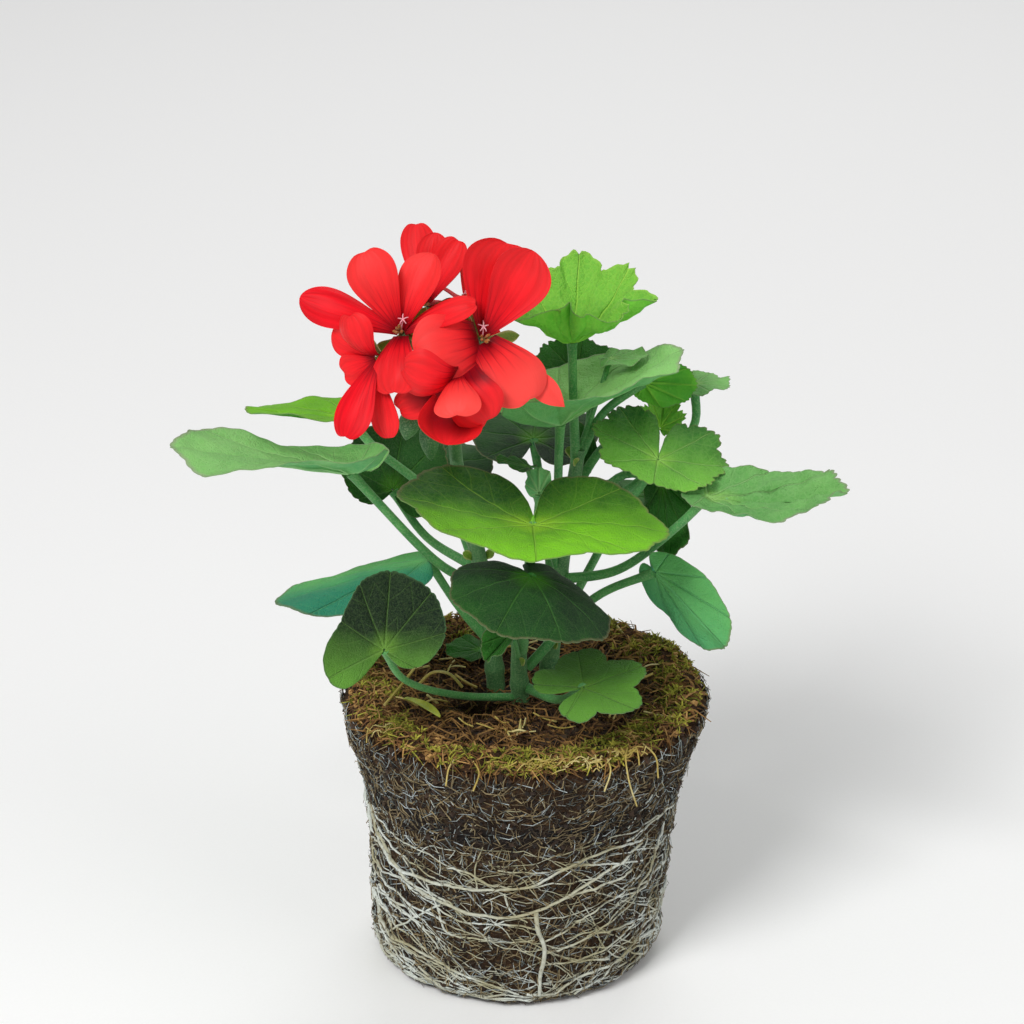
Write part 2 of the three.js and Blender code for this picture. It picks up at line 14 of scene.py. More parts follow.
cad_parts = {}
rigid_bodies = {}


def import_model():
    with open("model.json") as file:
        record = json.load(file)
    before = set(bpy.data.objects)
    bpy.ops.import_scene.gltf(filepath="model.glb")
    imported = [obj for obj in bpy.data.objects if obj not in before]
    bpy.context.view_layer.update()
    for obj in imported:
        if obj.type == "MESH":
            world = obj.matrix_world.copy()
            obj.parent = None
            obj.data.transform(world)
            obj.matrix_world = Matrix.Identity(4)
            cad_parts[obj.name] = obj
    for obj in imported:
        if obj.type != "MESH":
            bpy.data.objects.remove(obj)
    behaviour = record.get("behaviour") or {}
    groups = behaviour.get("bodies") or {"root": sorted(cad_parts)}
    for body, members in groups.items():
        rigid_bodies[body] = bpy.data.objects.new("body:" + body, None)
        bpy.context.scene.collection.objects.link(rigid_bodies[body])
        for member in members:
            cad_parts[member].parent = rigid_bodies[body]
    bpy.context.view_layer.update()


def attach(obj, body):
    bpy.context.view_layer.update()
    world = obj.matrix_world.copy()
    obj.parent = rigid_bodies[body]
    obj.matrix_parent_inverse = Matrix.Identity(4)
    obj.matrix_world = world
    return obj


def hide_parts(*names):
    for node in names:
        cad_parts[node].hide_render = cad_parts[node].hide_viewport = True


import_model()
MM = 0.001

# %% [markdown]
# The plant faces the camera, which looks down on it by 25 degrees. A flower or leaf is easiest to
# lay out as that eye sees it, so directions are written as right, up and near, and one function
# turns them into X, Y and Z.

# %% Camera
FRONT_TILT = math.radians(25)
SIGHT_TARGET = (-1.3, 0, 163)
SIGHT_DISTANCE = 1300
SENSOR_WIDTH = 36
SIGHT_WIDTH = 1024 / 3
SINE = math.sin(FRONT_TILT)
COSINE = math.cos(FRONT_TILT)


def seen(direction):
    """Right, up and near as X, Y and Z."""
    right, up, near = direction
    return np.array([right, up * SINE - near * COSINE, up * COSINE + near * SINE], dtype=float)


def as_seen(vector):
    """X, Y and Z as right, up and near."""
    x, y, z = vector
    return np.array([x, y * SINE + z * COSINE, -y * COSINE + z * SINE])


def unit(vector):
    """The direction of a vector, with length 1."""
    return vector / np.linalg.norm(vector)


camera = bpy.data.objects.new("photo_camera", bpy.data.cameras.new("photo_camera"))
camera.data.sensor_width = SENSOR_WIDTH
camera.data.lens = SENSOR_WIDTH * SIGHT_DISTANCE / SIGHT_WIDTH
camera.location = (np.array(SIGHT_TARGET) + SIGHT_DISTANCE * seen((0, 0, 1))) * MM
camera.rotation_euler = (math.radians(90) - FRONT_TILT, 0, 0)
bpy.context.scene.collection.objects.link(camera)
bpy.context.scene.camera = camera
print("Camera at", tuple(round(value, 3) for value in camera.location))

# %% [markdown]
# A photograph on white needs soft light from all round, with one larger lamp high at the front
# that gives the petals and leaves their soft highlights. The floor is a pale sheet.

# %% Light
WORLD_STRENGTH = 0.31
LAMPS = {
    "key_lamp": {"place": (-700, -1100, 1500), "size": 700, "power": 24},
    "fill_lamp": {"place": (1100, -700, 900), "size": 1100, "power": 4},
    "back_lamp": {"place": (200, 1200, 1300), "size": 1000, "power": 7},
}


def srgb(hex_colour):
    """A hex colour as linear red, green, blue and alpha."""
    parts = [int(hex_colour[i:i + 2], 16) / 255 for i in (1, 3, 5)]
    return tuple(c / 12.92 if c < 0.04045 else ((c + 0.055) / 1.055) ** 2.4 for c in parts) + (1.0,)


for lamp_name, lamp in LAMPS.items():
    light = bpy.data.lights.new(lamp_name, "AREA")
    light.size = lamp["size"] * MM
    light.energy = lamp["power"]
    holder = bpy.data.objects.new(lamp_name, light)
    holder.location = np.array(lamp["place"]) * MM
    aim = Vector(SIGHT_TARGET) * MM - holder.location
    holder.rotation_euler = aim.to_track_quat("-Z", "Y").to_euler()
    bpy.context.scene.collection.objects.link(holder)

world = bpy.data.worlds.new("white_studio")
world.use_nodes = True
world.node_tree.nodes["Background"].inputs["Color"].default_value = srgb("#FFFFFF")
world.node_tree.nodes["Background"].inputs["Strength"].default_value = WORLD_STRENGTH
bpy.context.scene.world = world
bpy.context.scene.view_settings.view_transform = "Standard"
print("Lamps:", ", ".join(LAMPS))

# %% [markdown]
# A material or a Geometry Nodes tree is a set of nodes with settings and links. One small function
# adds a node: inputs may be plain values, other nodes or single outputs of nodes. Nearly every
# material here is a first colour with others laid over it, each where its mask says, so the
# function that finishes a material does that too.

# %% Nodes


def add_node(tree, kind, inputs=None, **settings):
    """Adds a node, then its settings, then its values and links."""
    node = tree.nodes.new(kind)
    for name, value in settings.items():
        setattr(node, name, value)
    for key, value in (inputs or {}).items():
        usable = [socket for socket in node.inputs if socket.enabled]
        socket = usable[key] if isinstance(key, int) else next(s for s in usable if s.name == key)
        if isinstance(value, bpy.types.Node):
            value = next(output for output in value.outputs if output.enabled)
        if isinstance(value, bpy.types.NodeSocket):
            tree.links.new(value, socket)
        else:
            socket.default_value = value
    return node


def per_metre(size):
    """The scale of a pattern whose grain is so many millimetres."""
    return 1 / (size * MM)


def ramp(start, end, low, high):
    """The inputs of a Map Range node: from start to end it goes from low to high."""
    return {1: start, 2: end, 3: low, 4: high}


def new_material(name):
    """A material, its empty node tree and the place of each point in its piece."""
    material = bpy.data.materials.new(name)
    material.use_nodes = True
    tree = material.node_tree
    tree.nodes.clear()
    return material, tree, add_node(tree, "ShaderNodeTexCoord").outputs["Object"]


def finish_material(tree, colours, height, depth, inputs):
    """Lays colours over the first by their masks, adds a relief so many metres deep, and shades."""
    colour = srgb(colours[0])
    for mask, over in colours[1:]:
        colour = add_node(
            tree, "ShaderNodeMix", {"Factor": mask, "A": colour, "B": srgb(over)}, data_type="RGBA")
    relief = add_node(tree, "ShaderNodeBump", {"Height": height, "Distance": depth, "Strength": 1.0})
    shader = add_node(
        tree, "ShaderNodeBsdfPrincipled", {"Base Color": colour, "Normal": relief, **inputs})
    add_node(tree, "ShaderNodeOutputMaterial", {"Surface": shader})


print("A pattern with a grain of 5 mm has the scale", per_metre(5))

# %% [markdown]
# White paper has a faint tooth, which keeps the floor from looking like a computer's empty plane.
# The tooth of real paper is 0.2 mm. It is drawn coarser, or the render wouldn't show it.

# %% Floor
FLOOR_SIZE = 12000
PAPER_GRAIN = 10 / 9
PAPER_TOOTH = 0.02

material, tree, place = new_material("matt_white_paper")
grain = add_node(
    tree, "ShaderNodeTexNoise", {"Vector": place, "Scale": per_metre(PAPER_GRAIN), "Detail": 2.0})
finish_material(
    tree, ["#FBFBFA", (grain, "#FFFFFF")], grain, PAPER_TOOTH * MM, {"Roughness": 0.9})
floor_mesh = bpy.data.meshes.new("paper_floor")
half = FLOOR_SIZE * MM / 2
floor_mesh.from_pydata(
    [(-half, -half, 0), (half, -half, 0), (half, half, 0), (-half, half, 0)], [], [(0, 1, 2, 3)])
floor_mesh.materials.append(material)
floor = bpy.data.objects.new("paper_floor", floor_mesh)
bpy.context.scene.collection.objects.link(floor)
print("Floor", FLOOR_SIZE, "mm wide")

# %% [markdown]
# Leaves, petals and sepals are all thin closed sheets: a grid of points for the upper face, a grid
# for the lower face, and a wall along the four borders. Subdividing a flat plane and bending it
# with modifiers would also work, but with a formula each leaf keeps its own measured shape.

# %% Sheets


def sheet_faces(rows, columns):
    """Quads of a closed sheet, and the column of the grid that each quad belongs to."""
    spot = np.arange(rows * columns).reshape(rows, columns)
    low = rows * columns
    corners = [spot[:-1, :-1], spot[1:, :-1], spot[1:, 1:], spot[:-1, 1:]]
    top = np.stack(corners, axis=-1).reshape(-1, 4)
    bottom = top[:, ::-1] + low
    cell = np.tile(np.arange(columns - 1), rows - 1)
    border = np.concatenate([spot[:, 0], spot[-1, 1:], spot[-2::-1, -1], spot[0, -2:0:-1]])
    after = np.roll(border, -1)
    walls = np.stack([after, border, border + low, after + low], axis=1)
    wall_cell = np.clip(np.minimum(border, after) % columns, 0, columns - 2)
    return np.concatenate([top, bottom, walls]), np.concatenate([cell, cell, wall_cell])


def ring_faces(rows, columns):
    """Quads between closed rings of points, and the two end faces that would close them."""
    spot = np.arange(rows * columns).reshape(rows, columns)
    ahead = np.roll(spot, -1, axis=1)
    quads = np.stack([spot[:-1], ahead[:-1], ahead[1:], spot[1:]], -1).reshape(-1, 4)
    return quads.tolist(), [spot[0].tolist()[::-1], spot[-1].tolist()]


def normals_of(grid):
    """The unit normal of a grid of points at each point."""
    normal = np.cross(np.gradient(grid, axis=0), np.gradient(grid, axis=1))
    return normal / np.maximum(np.linalg.norm(normal, axis=-1, keepdims=True), 1e-9)


def new_piece(name, points, faces, materials=(), edges=()):
    """A mesh object from points in millimetres."""
    mesh = bpy.data.meshes.new(name)
    faces = faces.tolist() if isinstance(faces, np.ndarray) else faces
    mesh.from_pydata((np.asarray(points) * MM).tolist(), edges, faces)
    for item in materials:
        mesh.materials.append(item)
    piece = bpy.data.objects.new(name, mesh)
    bpy.context.scene.collection.objects.link(piece)
    return piece


def mark(piece, name, values, domain="POINT"):
    """Stores a number or a vector for each point or face corner."""
    values = np.asarray(values, dtype=float)
    wide = values.ndim > 1
    kind, field = ("FLOAT_VECTOR", "vector") if wide else ("FLOAT", "value")
    piece.data.attributes.new(name, kind, domain).data.foreach_set(field, values.ravel())


def smooth(piece, sharp_above=55):
    """Shades a piece smooth, but keeps the edges that turn by more than so many degrees."""
    piece.data.shade_smooth()
    piece.data.set_sharp_from_angle(angle=math.radians(sharp_above))


def join(pieces, name):
    """Makes one object of several."""
    whole = pieces[0]
    if len(pieces) > 1:
        with bpy.context.temp_override(
                object=whole, active_object=whole, selected_objects=pieces,
                selected_editable_objects=pieces):
            bpy.ops.object.join()
    whole.name = name
    whole.data.name = name
    return whole


def keep_off_floor(piece):
    """Lifts what would dip into the floor up to it."""
    spots = np.empty(3 * len(piece.data.vertices))
    piece.data.vertices.foreach_get("co", spots)
    spots = spots.reshape(-1, 3)
    spots[:, 2] = np.maximum(spots[:, 2], 0)
    piece.data.vertices.foreach_set("co", spots.ravel())
    piece.data.update()


def hand_over(piece, slot, *nodes):
    """Says what the finished piece rides on and which nodes it stands for; slot, how it is finished,
    is not used.
    """
    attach(piece, "root")
    if nodes:
        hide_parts(*nodes)
    print(piece.name, sum(len(face.vertices) - 2 for face in piece.data.polygons), "triangles")


print("The smallest closed sheet has", len(sheet_faces(2, 2)[0]), "faces")

# %% [markdown]
# Stems, leaf stalks, flower stalks and roots are round and follow a path, which is what Geometry
# Nodes do best. The script only gives the path and the thickness along it; the tree sweeps a
# circle along the path, closes the ends and puts the finish on. A bevelled curve object would
# give the same tube, but one tree takes hundreds of roots at once.

# %% Stalk tree


def new_tree(name, inputs):
    """A Geometry Nodes group with named inputs and one output."""
    tree = bpy.data.node_groups.new(name, "GeometryNodeTree")
    for input_name, kind in inputs.items():
        tree.interface.new_socket(input_name, in_out="INPUT", socket_type=kind)
    tree.interface.new_socket("Result", in_out="OUTPUT", socket_type="NodeSocketGeometry")
    return tree, add_node(tree, "NodeGroupInput").outputs


stalk_tree, given = new_tree("round_stalk", {
    "Route": "NodeSocketGeometry", "Sides": "NodeSocketInt", "Smooth": "NodeSocketBool",
    "Finish": "NodeSocketMaterial"})
girth = add_node(stalk_tree, "GeometryNodeInputNamedAttribute", {"Name": "girth"})
path = add_node(stalk_tree, "GeometryNodeMeshToCurve", {"Mesh": given["Route"]})
ring = add_node(
    stalk_tree, "GeometryNodeCurvePrimitiveCircle", {"Resolution": given["Sides"], "Radius": 1.0})
tube = add_node(stalk_tree, "GeometryNodeCurveToMesh", {
    "Curve": path, "Profile Curve": ring, "Scale": girth, "Fill Caps": True})
soft = add_node(
    stalk_tree, "GeometryNodeSetShadeSmooth", {"Geometry": tube, "Shade Smooth": given["Smooth"]})
solid = add_node(stalk_tree, "GeometryNodeRealizeInstances", {0: soft})
painted = add_node(
    stalk_tree, "GeometryNodeSetMaterial", {"Geometry": solid, "Material": given["Finish"]})
add_node(stalk_tree, "NodeGroupOutput", {0: painted})


def run_tree(piece, tree, values):
    """Runs a tree on a piece and keeps the result as its plain mesh."""
    modifier = piece.modifiers.new("grow", "NODES")
    modifier.node_group = tree
    for item in tree.interface.items_tree:
        if item.in_out == "INPUT" and item.name in values:
            modifier[item.identifier] = values[item.name]
    bpy.context.view_layer.update()
    graph = bpy.context.evaluated_depsgraph_get()
    result = bpy.data.meshes.new_from_object(
        piece.evaluated_get(graph), preserve_all_data_layers=True, depsgraph=graph)
    piece.modifiers.clear()
    piece.data = result
    return piece


print("Stalk tree has", len(stalk_tree.nodes), "nodes")

# %% [markdown]
# The path goes through a few given points. A curve that passes through all of them without
# overshooting is cut into even steps, so the rings of a stalk lie evenly along it.

# %% Routes
FINE_STEPS = 24
SMALLEST_GAP = 1e-4


def smooth_route(points, steps):
    """Evenly spaced points on a smooth curve through the given ones, which doesn't overshoot."""
    points = np.array(points, dtype=float)
    ends = [2 * points[0] - points[1], *points, 2 * points[-1] - points[-2]]
    fine = []
    for before, start, end, after in zip(ends, ends[1:], ends[2:], ends[3:]):
        gaps = [max(np.linalg.norm(b - a), SMALLEST_GAP) ** 0.5
                for a, b in ((before, start), (start, end), (end, after))]
        leave = (start - before) / gaps[0] - (end - before) / (gaps[0] + gaps[1]) \
            + (end - start) / gaps[1]
        arrive = (end - start) / gaps[1] - (after - start) / (gaps[1] + gaps[2]) \
            + (after - end) / gaps[2]
        leave, arrive = leave * gaps[1], arrive * gaps[1]
        for t in np.linspace(0, 1, FINE_STEPS, endpoint=False):
            fine.append(
                start + leave * t + (3 * (end - start) - 2 * leave - arrive) * t ** 2
                + (2 * (start - end) + leave + arrive) * t ** 3)
    fine = np.array([*fine, points[-1]])
    run = np.concatenate([[0], np.cumsum(np.linalg.norm(np.diff(fine, axis=0), axis=1))])
    stops = np.linspace(0, run[-1], steps + 1)
    return np.stack([np.interp(stops, run, fine[:, axis]) for axis in range(3)], axis=1)


def stalks(name, routes, sides, finish, is_smooth=True):
    """One object with a round stalk along each route of points and girths."""
    points = np.concatenate([route for route, _ in routes])
    girths = np.concatenate([np.broadcast_to(wide, len(route)) for route, wide in routes])
    edges = []
    start = 0
    for route, _ in routes:
        edges += [(start + i, start + i + 1) for i in range(len(route) - 1)]
        start += len(route)
    piece = new_piece(name, points, [], edges=edges)
    mark(piece, "girth", girths * MM)
    return run_tree(piece, stalk_tree, {"Sides": sides, "Smooth": is_smooth, "Finish": finish})


print("A straight route in two steps:", smooth_route([(0, 0, 0), (2, 0, 0)], 2).tolist())

# %% [markdown]
# A zonal geranium leaf is a velvety disc: dark green, brighter and yellower round the point where
# the stalk meets it, partly its own colour and partly painted glow of light through the blade,
# with pale veins and a thin brownish margin. Light and shade are painted onto each blade too.
# Short hairs scatter the light, so it never shines like plastic: a high roughness with a little
# sheen gives that. The veins could be painted as an image, but they follow a rule. Each point of
# the blade stores how far it lies along its main vein and how far beside it, and side veins leave
# the main one at a steady spacing.

# %% Leaf finishes
# Lengths are in millimetres. The real hairs are 0.1 mm wide and the real mesh between the veins
# has cells of 1 mm. Both are drawn coarser, because the render wouldn't show them. So are the
# hairs of the stalks.
SIDE_VEIN_GAP = 8.5
SIDE_VEIN_SLANT = 1.1
MAIN_VEIN_WIDTH = 0.9
VEIN_END_WIDTH = 0.35
SIDE_VEIN_WIDTH = 0.7
MAIN_VEIN_SHARE = 0.85
SIDE_VEIN_SHARE = 0.3
VEIN_WANDER = 3.0
WANDER_GRAIN = 9
MESH_CELL = 2.1
MESH_LINE = 0.25
HAIR_GRAIN = 0.45
BLOTCH = 16
BLOTCH_SHARE = 0.7
VEIN_DEPTH = 0.55
UNDER_DEPTH = 0.25
UNDER_VEIN_SHARE = 0.5

# Where each colour begins and ends, and how much of it there is at both ends.
PAINTED_LIGHT_RAMP = ramp(0.25, 1.15, 0.0, 1.0)
HUB_GLOW_RAMP = ramp(0.02, 0.34, 0.6, 0.0)
DOWN_RAMP = ramp(0.4, 0.75, 0.0, 0.1)
RIM_RAMP = ramp(0.968, 0.998, 0.0, 0.65)
UNDER_RIM_RAMP = ramp(0.97, 0.995, 0.0, 0.6)
STALK_DOWN_RAMP = ramp(0.45, 0.75, 0.0, 0.35)

DOWN_WHITE = "#9DBF7C"
STALK_DOWN_WHITE = "#B6D79A"
UNDER_RIM = "#7D8A5E"
STREAK_LENGTH = 6
STALK_HAIR = 0.5
STALK_RELIEF = 0.15

MARGIN_BROWN = "#7F7657"
# The shade kind is a darker copy for leaves in shadow: painted shade. The teal kind is a shaded copy
# with a painted sky-blue reflection. The pale kind is lighter and greyer, partly painted reflection
# of the sky on leaves that face up. Deep and light are the ends between which painted light and
# random blotches mix; hub is partly painted glow.
LEAF_COLOURS = {
    "dark_leaf": {
        "deep": "#0B2A18", "light": "#2E7A1C", "hub": "#62A81F", "vein": "#5C9A40",
        "under": "#1F7A5A", "rim": MARGIN_BROWN, "vein_share": 0.4, "web": 0.1},
    "dull_leaf": {
        "deep": "#2E7028", "light": "#82CC46", "hub": "#9AD24A", "vein": "#A4D672",
        "under": "#2C8452", "rim": MARGIN_BROWN, "vein_share": 0.5, "web": 0.2},
    "teal_shade_leaf": {
        "deep": "#2A8468", "light": "#66B866", "hub": "#76BC5C", "vein": "#66B87E",
        "under": "#178078", "rim": MARGIN_BROWN, "vein_share": 0.45, "web": 0.12},
    "shade_leaf": {
        "deep": "#0A2012", "light": "#66A038", "hub": "#78A838", "vein": "#7CA854",
        "under": "#2C7452", "rim": "#4C6E46", "vein_share": 0.36, "web": 0.1},
    "mid_leaf": {
        "deep": "#1F5A12", "light": "#82D41C", "hub": "#A8DC2C", "vein": "#9CD24C",
        "under": "#2C9A40", "rim": MARGIN_BROWN, "vein_share": 0.55, "web": 0.14},
    "young_leaf": {
        "deep": "#4A9E2C", "light": "#86D048", "hub": "#A6EA22", "vein": "#B4EE5A",
        "under": "#4FBE1C", "rim": "#A6D65C", "vein_share": 0.8, "web": 0.24},
    "pale_leaf": {
        "deep": "#489044", "light": "#90D074", "hub": "#A2D65E", "vein": "#B2DE96",
        "under": "#2A9A5E", "rim": "#9A9088", "vein_share": 0.5, "web": 0.22},
}


def vein_masks(tree, place, web_share):
    """How much of a vein each point is, how far out it lies, its hairs and its blotches."""
    spot = add_node(tree, "ShaderNodeAttribute", attribute_name="vein_place").outputs["Vector"]
    parts = add_node(tree, "ShaderNodeSeparateXYZ", {0: spot}).outputs
    wander = add_node(
        tree, "ShaderNodeTexNoise",
        {"Vector": place, "Scale": per_metre(WANDER_GRAIN), "Detail": 1.0})
    width = add_node(
        tree, "ShaderNodeMath",
        {0: parts["Z"], 1: VEIN_END_WIDTH - MAIN_VEIN_WIDTH, 2: MAIN_VEIN_WIDTH},
        operation="MULTIPLY_ADD")
    main = add_node(
        tree, "ShaderNodeMapRange",
        {"Value": parts["Y"], **ramp(0.0, width, MAIN_VEIN_SHARE, 0.0)},
        interpolation_type="SMOOTHSTEP")
    slanted = add_node(
        tree, "ShaderNodeMath", {0: parts["Y"], 1: -SIDE_VEIN_SLANT, 2: parts["X"]},
        operation="MULTIPLY_ADD")
    wandering = add_node(
        tree, "ShaderNodeMath", {0: wander, 1: VEIN_WANDER, 2: slanted}, operation="MULTIPLY_ADD")
    beside = add_node(
        tree, "ShaderNodeMath", {0: wandering, 1: SIDE_VEIN_GAP / 2}, operation="PINGPONG")
    side = add_node(
        tree, "ShaderNodeMapRange",
        {"Value": beside, **ramp(0.0, SIDE_VEIN_WIDTH, SIDE_VEIN_SHARE, 0.0)},
        interpolation_type="SMOOTHSTEP")
    cells = add_node(
        tree, "ShaderNodeTexVoronoi", {"Vector": place, "Scale": per_metre(MESH_CELL)},
        feature="DISTANCE_TO_EDGE")
    web = add_node(
        tree, "ShaderNodeMapRange", {"Value": cells, **ramp(0.0, MESH_LINE, web_share, 0.0)})
    big = add_node(tree, "ShaderNodeMath", {0: main, 1: side}, operation="MAXIMUM")
    veins = add_node(tree, "ShaderNodeMath", {0: big, 1: web}, operation="MAXIMUM")
    hair = add_node(
        tree, "ShaderNodeTexNoise", {"Vector": place, "Scale": per_metre(HAIR_GRAIN), "Detail": 2.0})
    blotch = add_node(
        tree, "ShaderNodeTexNoise", {"Vector": place, "Scale": per_metre(BLOTCH), "Detail": 2.0})
    return veins, parts["Z"], hair, blotch


print("Leaf colours:", ", ".join(LEAF_COLOURS))

# %% [markdown]
# A leaf has two finishes. Its upper face is velvet: the sheen stays weak, because the hairs are
# short, and the veins lie sunk. Its lower face is cooler and matt, and the veins stand out. A stalk
# is streaked with darker and lighter green and covered in down.

# %% Green finishes


def leaf_face(name, colours):
    """The upper face: green blotches under painted light and shade, a hub partly painted glow, pale
    sunk veins, brownish margin and velvet.
    """
    material, tree, place = new_material(name)
    veins, out, hair, blotch = vein_masks(tree, place, colours["web"])
    # The green goes from deep to light by random blotches and by a share of painted light that each
    # point carries: painted light and shade.
    lit = add_node(tree, "ShaderNodeAttribute", attribute_name="painted_light").outputs["Fac"]
    blotch_and_painted_light = add_node(
        tree, "ShaderNodeMath", {0: blotch, 1: BLOTCH_SHARE, 2: lit}, operation="MULTIPLY_ADD")
    share = add_node(tree, "ShaderNodeMapRange", {"Value": blotch_and_painted_light, **PAINTED_LIGHT_RAMP})
    # Yellower round the hub: partly the leaf's own colour, partly painted glow of light shining
    # through the blade.
    near_hub_glow = add_node(
        tree, "ShaderNodeMapRange", {"Value": out, **HUB_GLOW_RAMP}, interpolation_type="SMOOTHSTEP")
    faint = add_node(
        tree, "ShaderNodeMath", {0: veins, 1: colours["vein_share"]}, operation="MULTIPLY")
    down = add_node(tree, "ShaderNodeMapRange", {"Value": hair, **DOWN_RAMP})
    rim = add_node(tree, "ShaderNodeMapRange", {"Value": out, **RIM_RAMP})
    sunk = add_node(tree, "ShaderNodeMath", {0: veins, 1: -1.0, 2: hair}, operation="MULTIPLY_ADD")
    layers = [
        colours["deep"], (share, colours["light"]), (near_hub_glow, colours["hub"]),
        (faint, colours["vein"]), (down, DOWN_WHITE), (rim, colours["rim"])]
    finish_material(tree, layers, sunk, VEIN_DEPTH * MM, {
        "Roughness": 0.58, "Specular IOR Level": 0.2, "Sheen Weight": 0.05,
        "Sheen Roughness": 0.45, "Sheen Tint": srgb("#C9E6B8")})
    return material


def leaf_underside(name, colours):
    """The lower face: cooler, matt, with raised veins."""
    material, tree, place = new_material(name)
    veins, out, hair, blotch = vein_masks(tree, place, colours["web"])
    faint = add_node(tree, "ShaderNodeMath", {0: veins, 1: UNDER_VEIN_SHARE}, operation="MULTIPLY")
    rim = add_node(tree, "ShaderNodeMapRange", {"Value": out, **UNDER_RIM_RAMP})
    raised = add_node(tree, "ShaderNodeMath", {0: veins, 1: hair}, operation="ADD")
    layers = [
        colours["under"], (blotch, colours["light"]), (faint, colours["vein"]), (rim, UNDER_RIM)]
    finish_material(tree, layers, raised, UNDER_DEPTH * MM, {
        "Roughness": 0.72, "Specular IOR Level": 0.3, "Sheen Weight": 0.1,
        "Sheen Roughness": 0.5, "Sheen Tint": srgb("#BFE3D0")})
    return material


def green_stalk(name, shade, lit):
    """A hairy green stalk: streaks of darker green and a fine down."""
    material, tree, place = new_material(name)
    streaks = add_node(
        tree, "ShaderNodeTexNoise",
        {"Vector": place, "Scale": per_metre(STREAK_LENGTH), "Detail": 3.0})
    hairs = add_node(
        tree, "ShaderNodeTexNoise", {"Vector": place, "Scale": per_metre(STALK_HAIR), "Detail": 2.0})
    down = add_node(tree, "ShaderNodeMapRange", {"Value": hairs, **STALK_DOWN_RAMP})
    layers = [shade, (streaks, lit), (down, STALK_DOWN_WHITE)]
    finish_material(tree, layers, hairs, STALK_RELIEF * MM, {
        "Roughness": 0.55, "Specular IOR Level": 0.4, "Sheen Weight": 0.25,
        "Sheen Roughness": 0.4, "Sheen Tint": srgb("#D5EFC4")})
    return material


LEAF_FINISHES = {
    kind: (leaf_face(kind + "_velvet_face", colours), leaf_underside(kind + "_underside", colours))
    for kind, colours in LEAF_COLOURS.items()}
# The stalks of leaves are fresh and smooth, the stems older and duller.
PETIOLE = green_stalk("downy_leaf_stalk", "#24703A", "#62AE5A")
STEM = green_stalk("downy_green_stem", "#2C6238", "#62985A")
print("Leaf finishes:", ", ".join(LEAF_FINISHES))

# %% [markdown]
# The shape of a blade is a formula of two numbers, the angle round the stalk and the share of the
# way out to the margin. Its length and width, the folds along the midrib, the curl of tip and
# basal lobes and the funnel at the hub are numbers of each leaf. The mesh adds what the eye picks
# up close by: rounded teeth, creases along the main veins, a wavy margin, ribs underneath, and a
# blade that thins out to its edge. The columns of the grid are laid so that each main vein and
# each border between lobes falls on one of them.

# %% Blade
HUB_RADIUS = 0.5
CUP_CURVE = 1.4
BLADE_THICKNESS = 0.5
MARGIN_THICKNESS = 0.2
PLEAT = 0.045
PLEAT_END = 1.25
CREASE_SHARPNESS = 0.8
TOOTH_SHARPNESS = 0.5
SINUS_DEPTH = 0.8
SINUS_SHARPNESS = 44
SLOW_WAVES = 5
QUICK_WAVES = 9
QUICK_SHARE = 0.6
PHASE_STEP = 1.7
QUILT_SIZE = 4.5
QUILT_SHIFT = 4.0
QUILT_RISE = 4
RIB_HEIGHT = 0.9
RIB_WIDTH = 0.9
RIB_FADE = 0.7
BIG_LEAF = 30
MARGIN_STEP = 0.85
ROW_STEP = 2.1
FEWEST_ROWS = 9
ROW_CROWDING = 0.85
CLOSEST_COLUMNS = 0.02
PETIOLE_RADIUS = 1.5
PETIOLE_FLARE = 1.25
PETIOLE_WAIST = 0.12
PETIOLE_SIDES = 10
HUB_SWELLING = 0.25
HUB_SWELLING_SHARPNESS = 16
STALK_STEP = 2.5
FEWEST_STALK_STEPS = 6
BELOW_HUB = 0.4
DEEPEST_PAINTED_SHADE = -0.4

# A leaf's daylight is painted light and shade: a share at the hub, and how it changes toward the tip
# and toward the side.
PLAIN_LEAF = {
    "back": 20, "gap": 8, "lobes": 8, "depth": 0.045, "basal": (0, 0), "notch": 0.25, "cup": 0,
    "twist": 0, "open": 0, "off_width": 1, "to_side": (0, 0), "off_side": (0, 0), "tip_curl": 0,
    "back_curl": 0, "stalk": PETIOLE_RADIUS, "kind": "dark_leaf", "teeth": 40, "tooth": 0.6,
    "wave": 0.7, "quilt": 0.35, "painted_light": (0.4, 0.25, 0), "stretch": (0, 0, 1),
}


def bend(s, reach, start_angle, end_angle):
    """How far along and how high a strip reaches while its slope turns evenly."""
    start = np.radians(start_angle)
    turn = (np.radians(end_angle) - start) / reach
    straight = np.abs(turn) < 1e-6
    safe = np.where(straight, 1, turn)
    slope = start + turn * s
    along = np.where(straight, s * np.cos(start), (np.sin(slope) - np.sin(start)) / safe)
    rise = np.where(straight, s * np.sin(start), (np.cos(start) - np.cos(slope)) / safe)
    return along, rise


def axes_of(tip, side):
    """The length, the right side and the upper face of a leaf."""
    length = unit(seen(tip))
    across = seen(side)
    across = unit(across - across @ length * length)
    return length, across, np.cross(length, across)


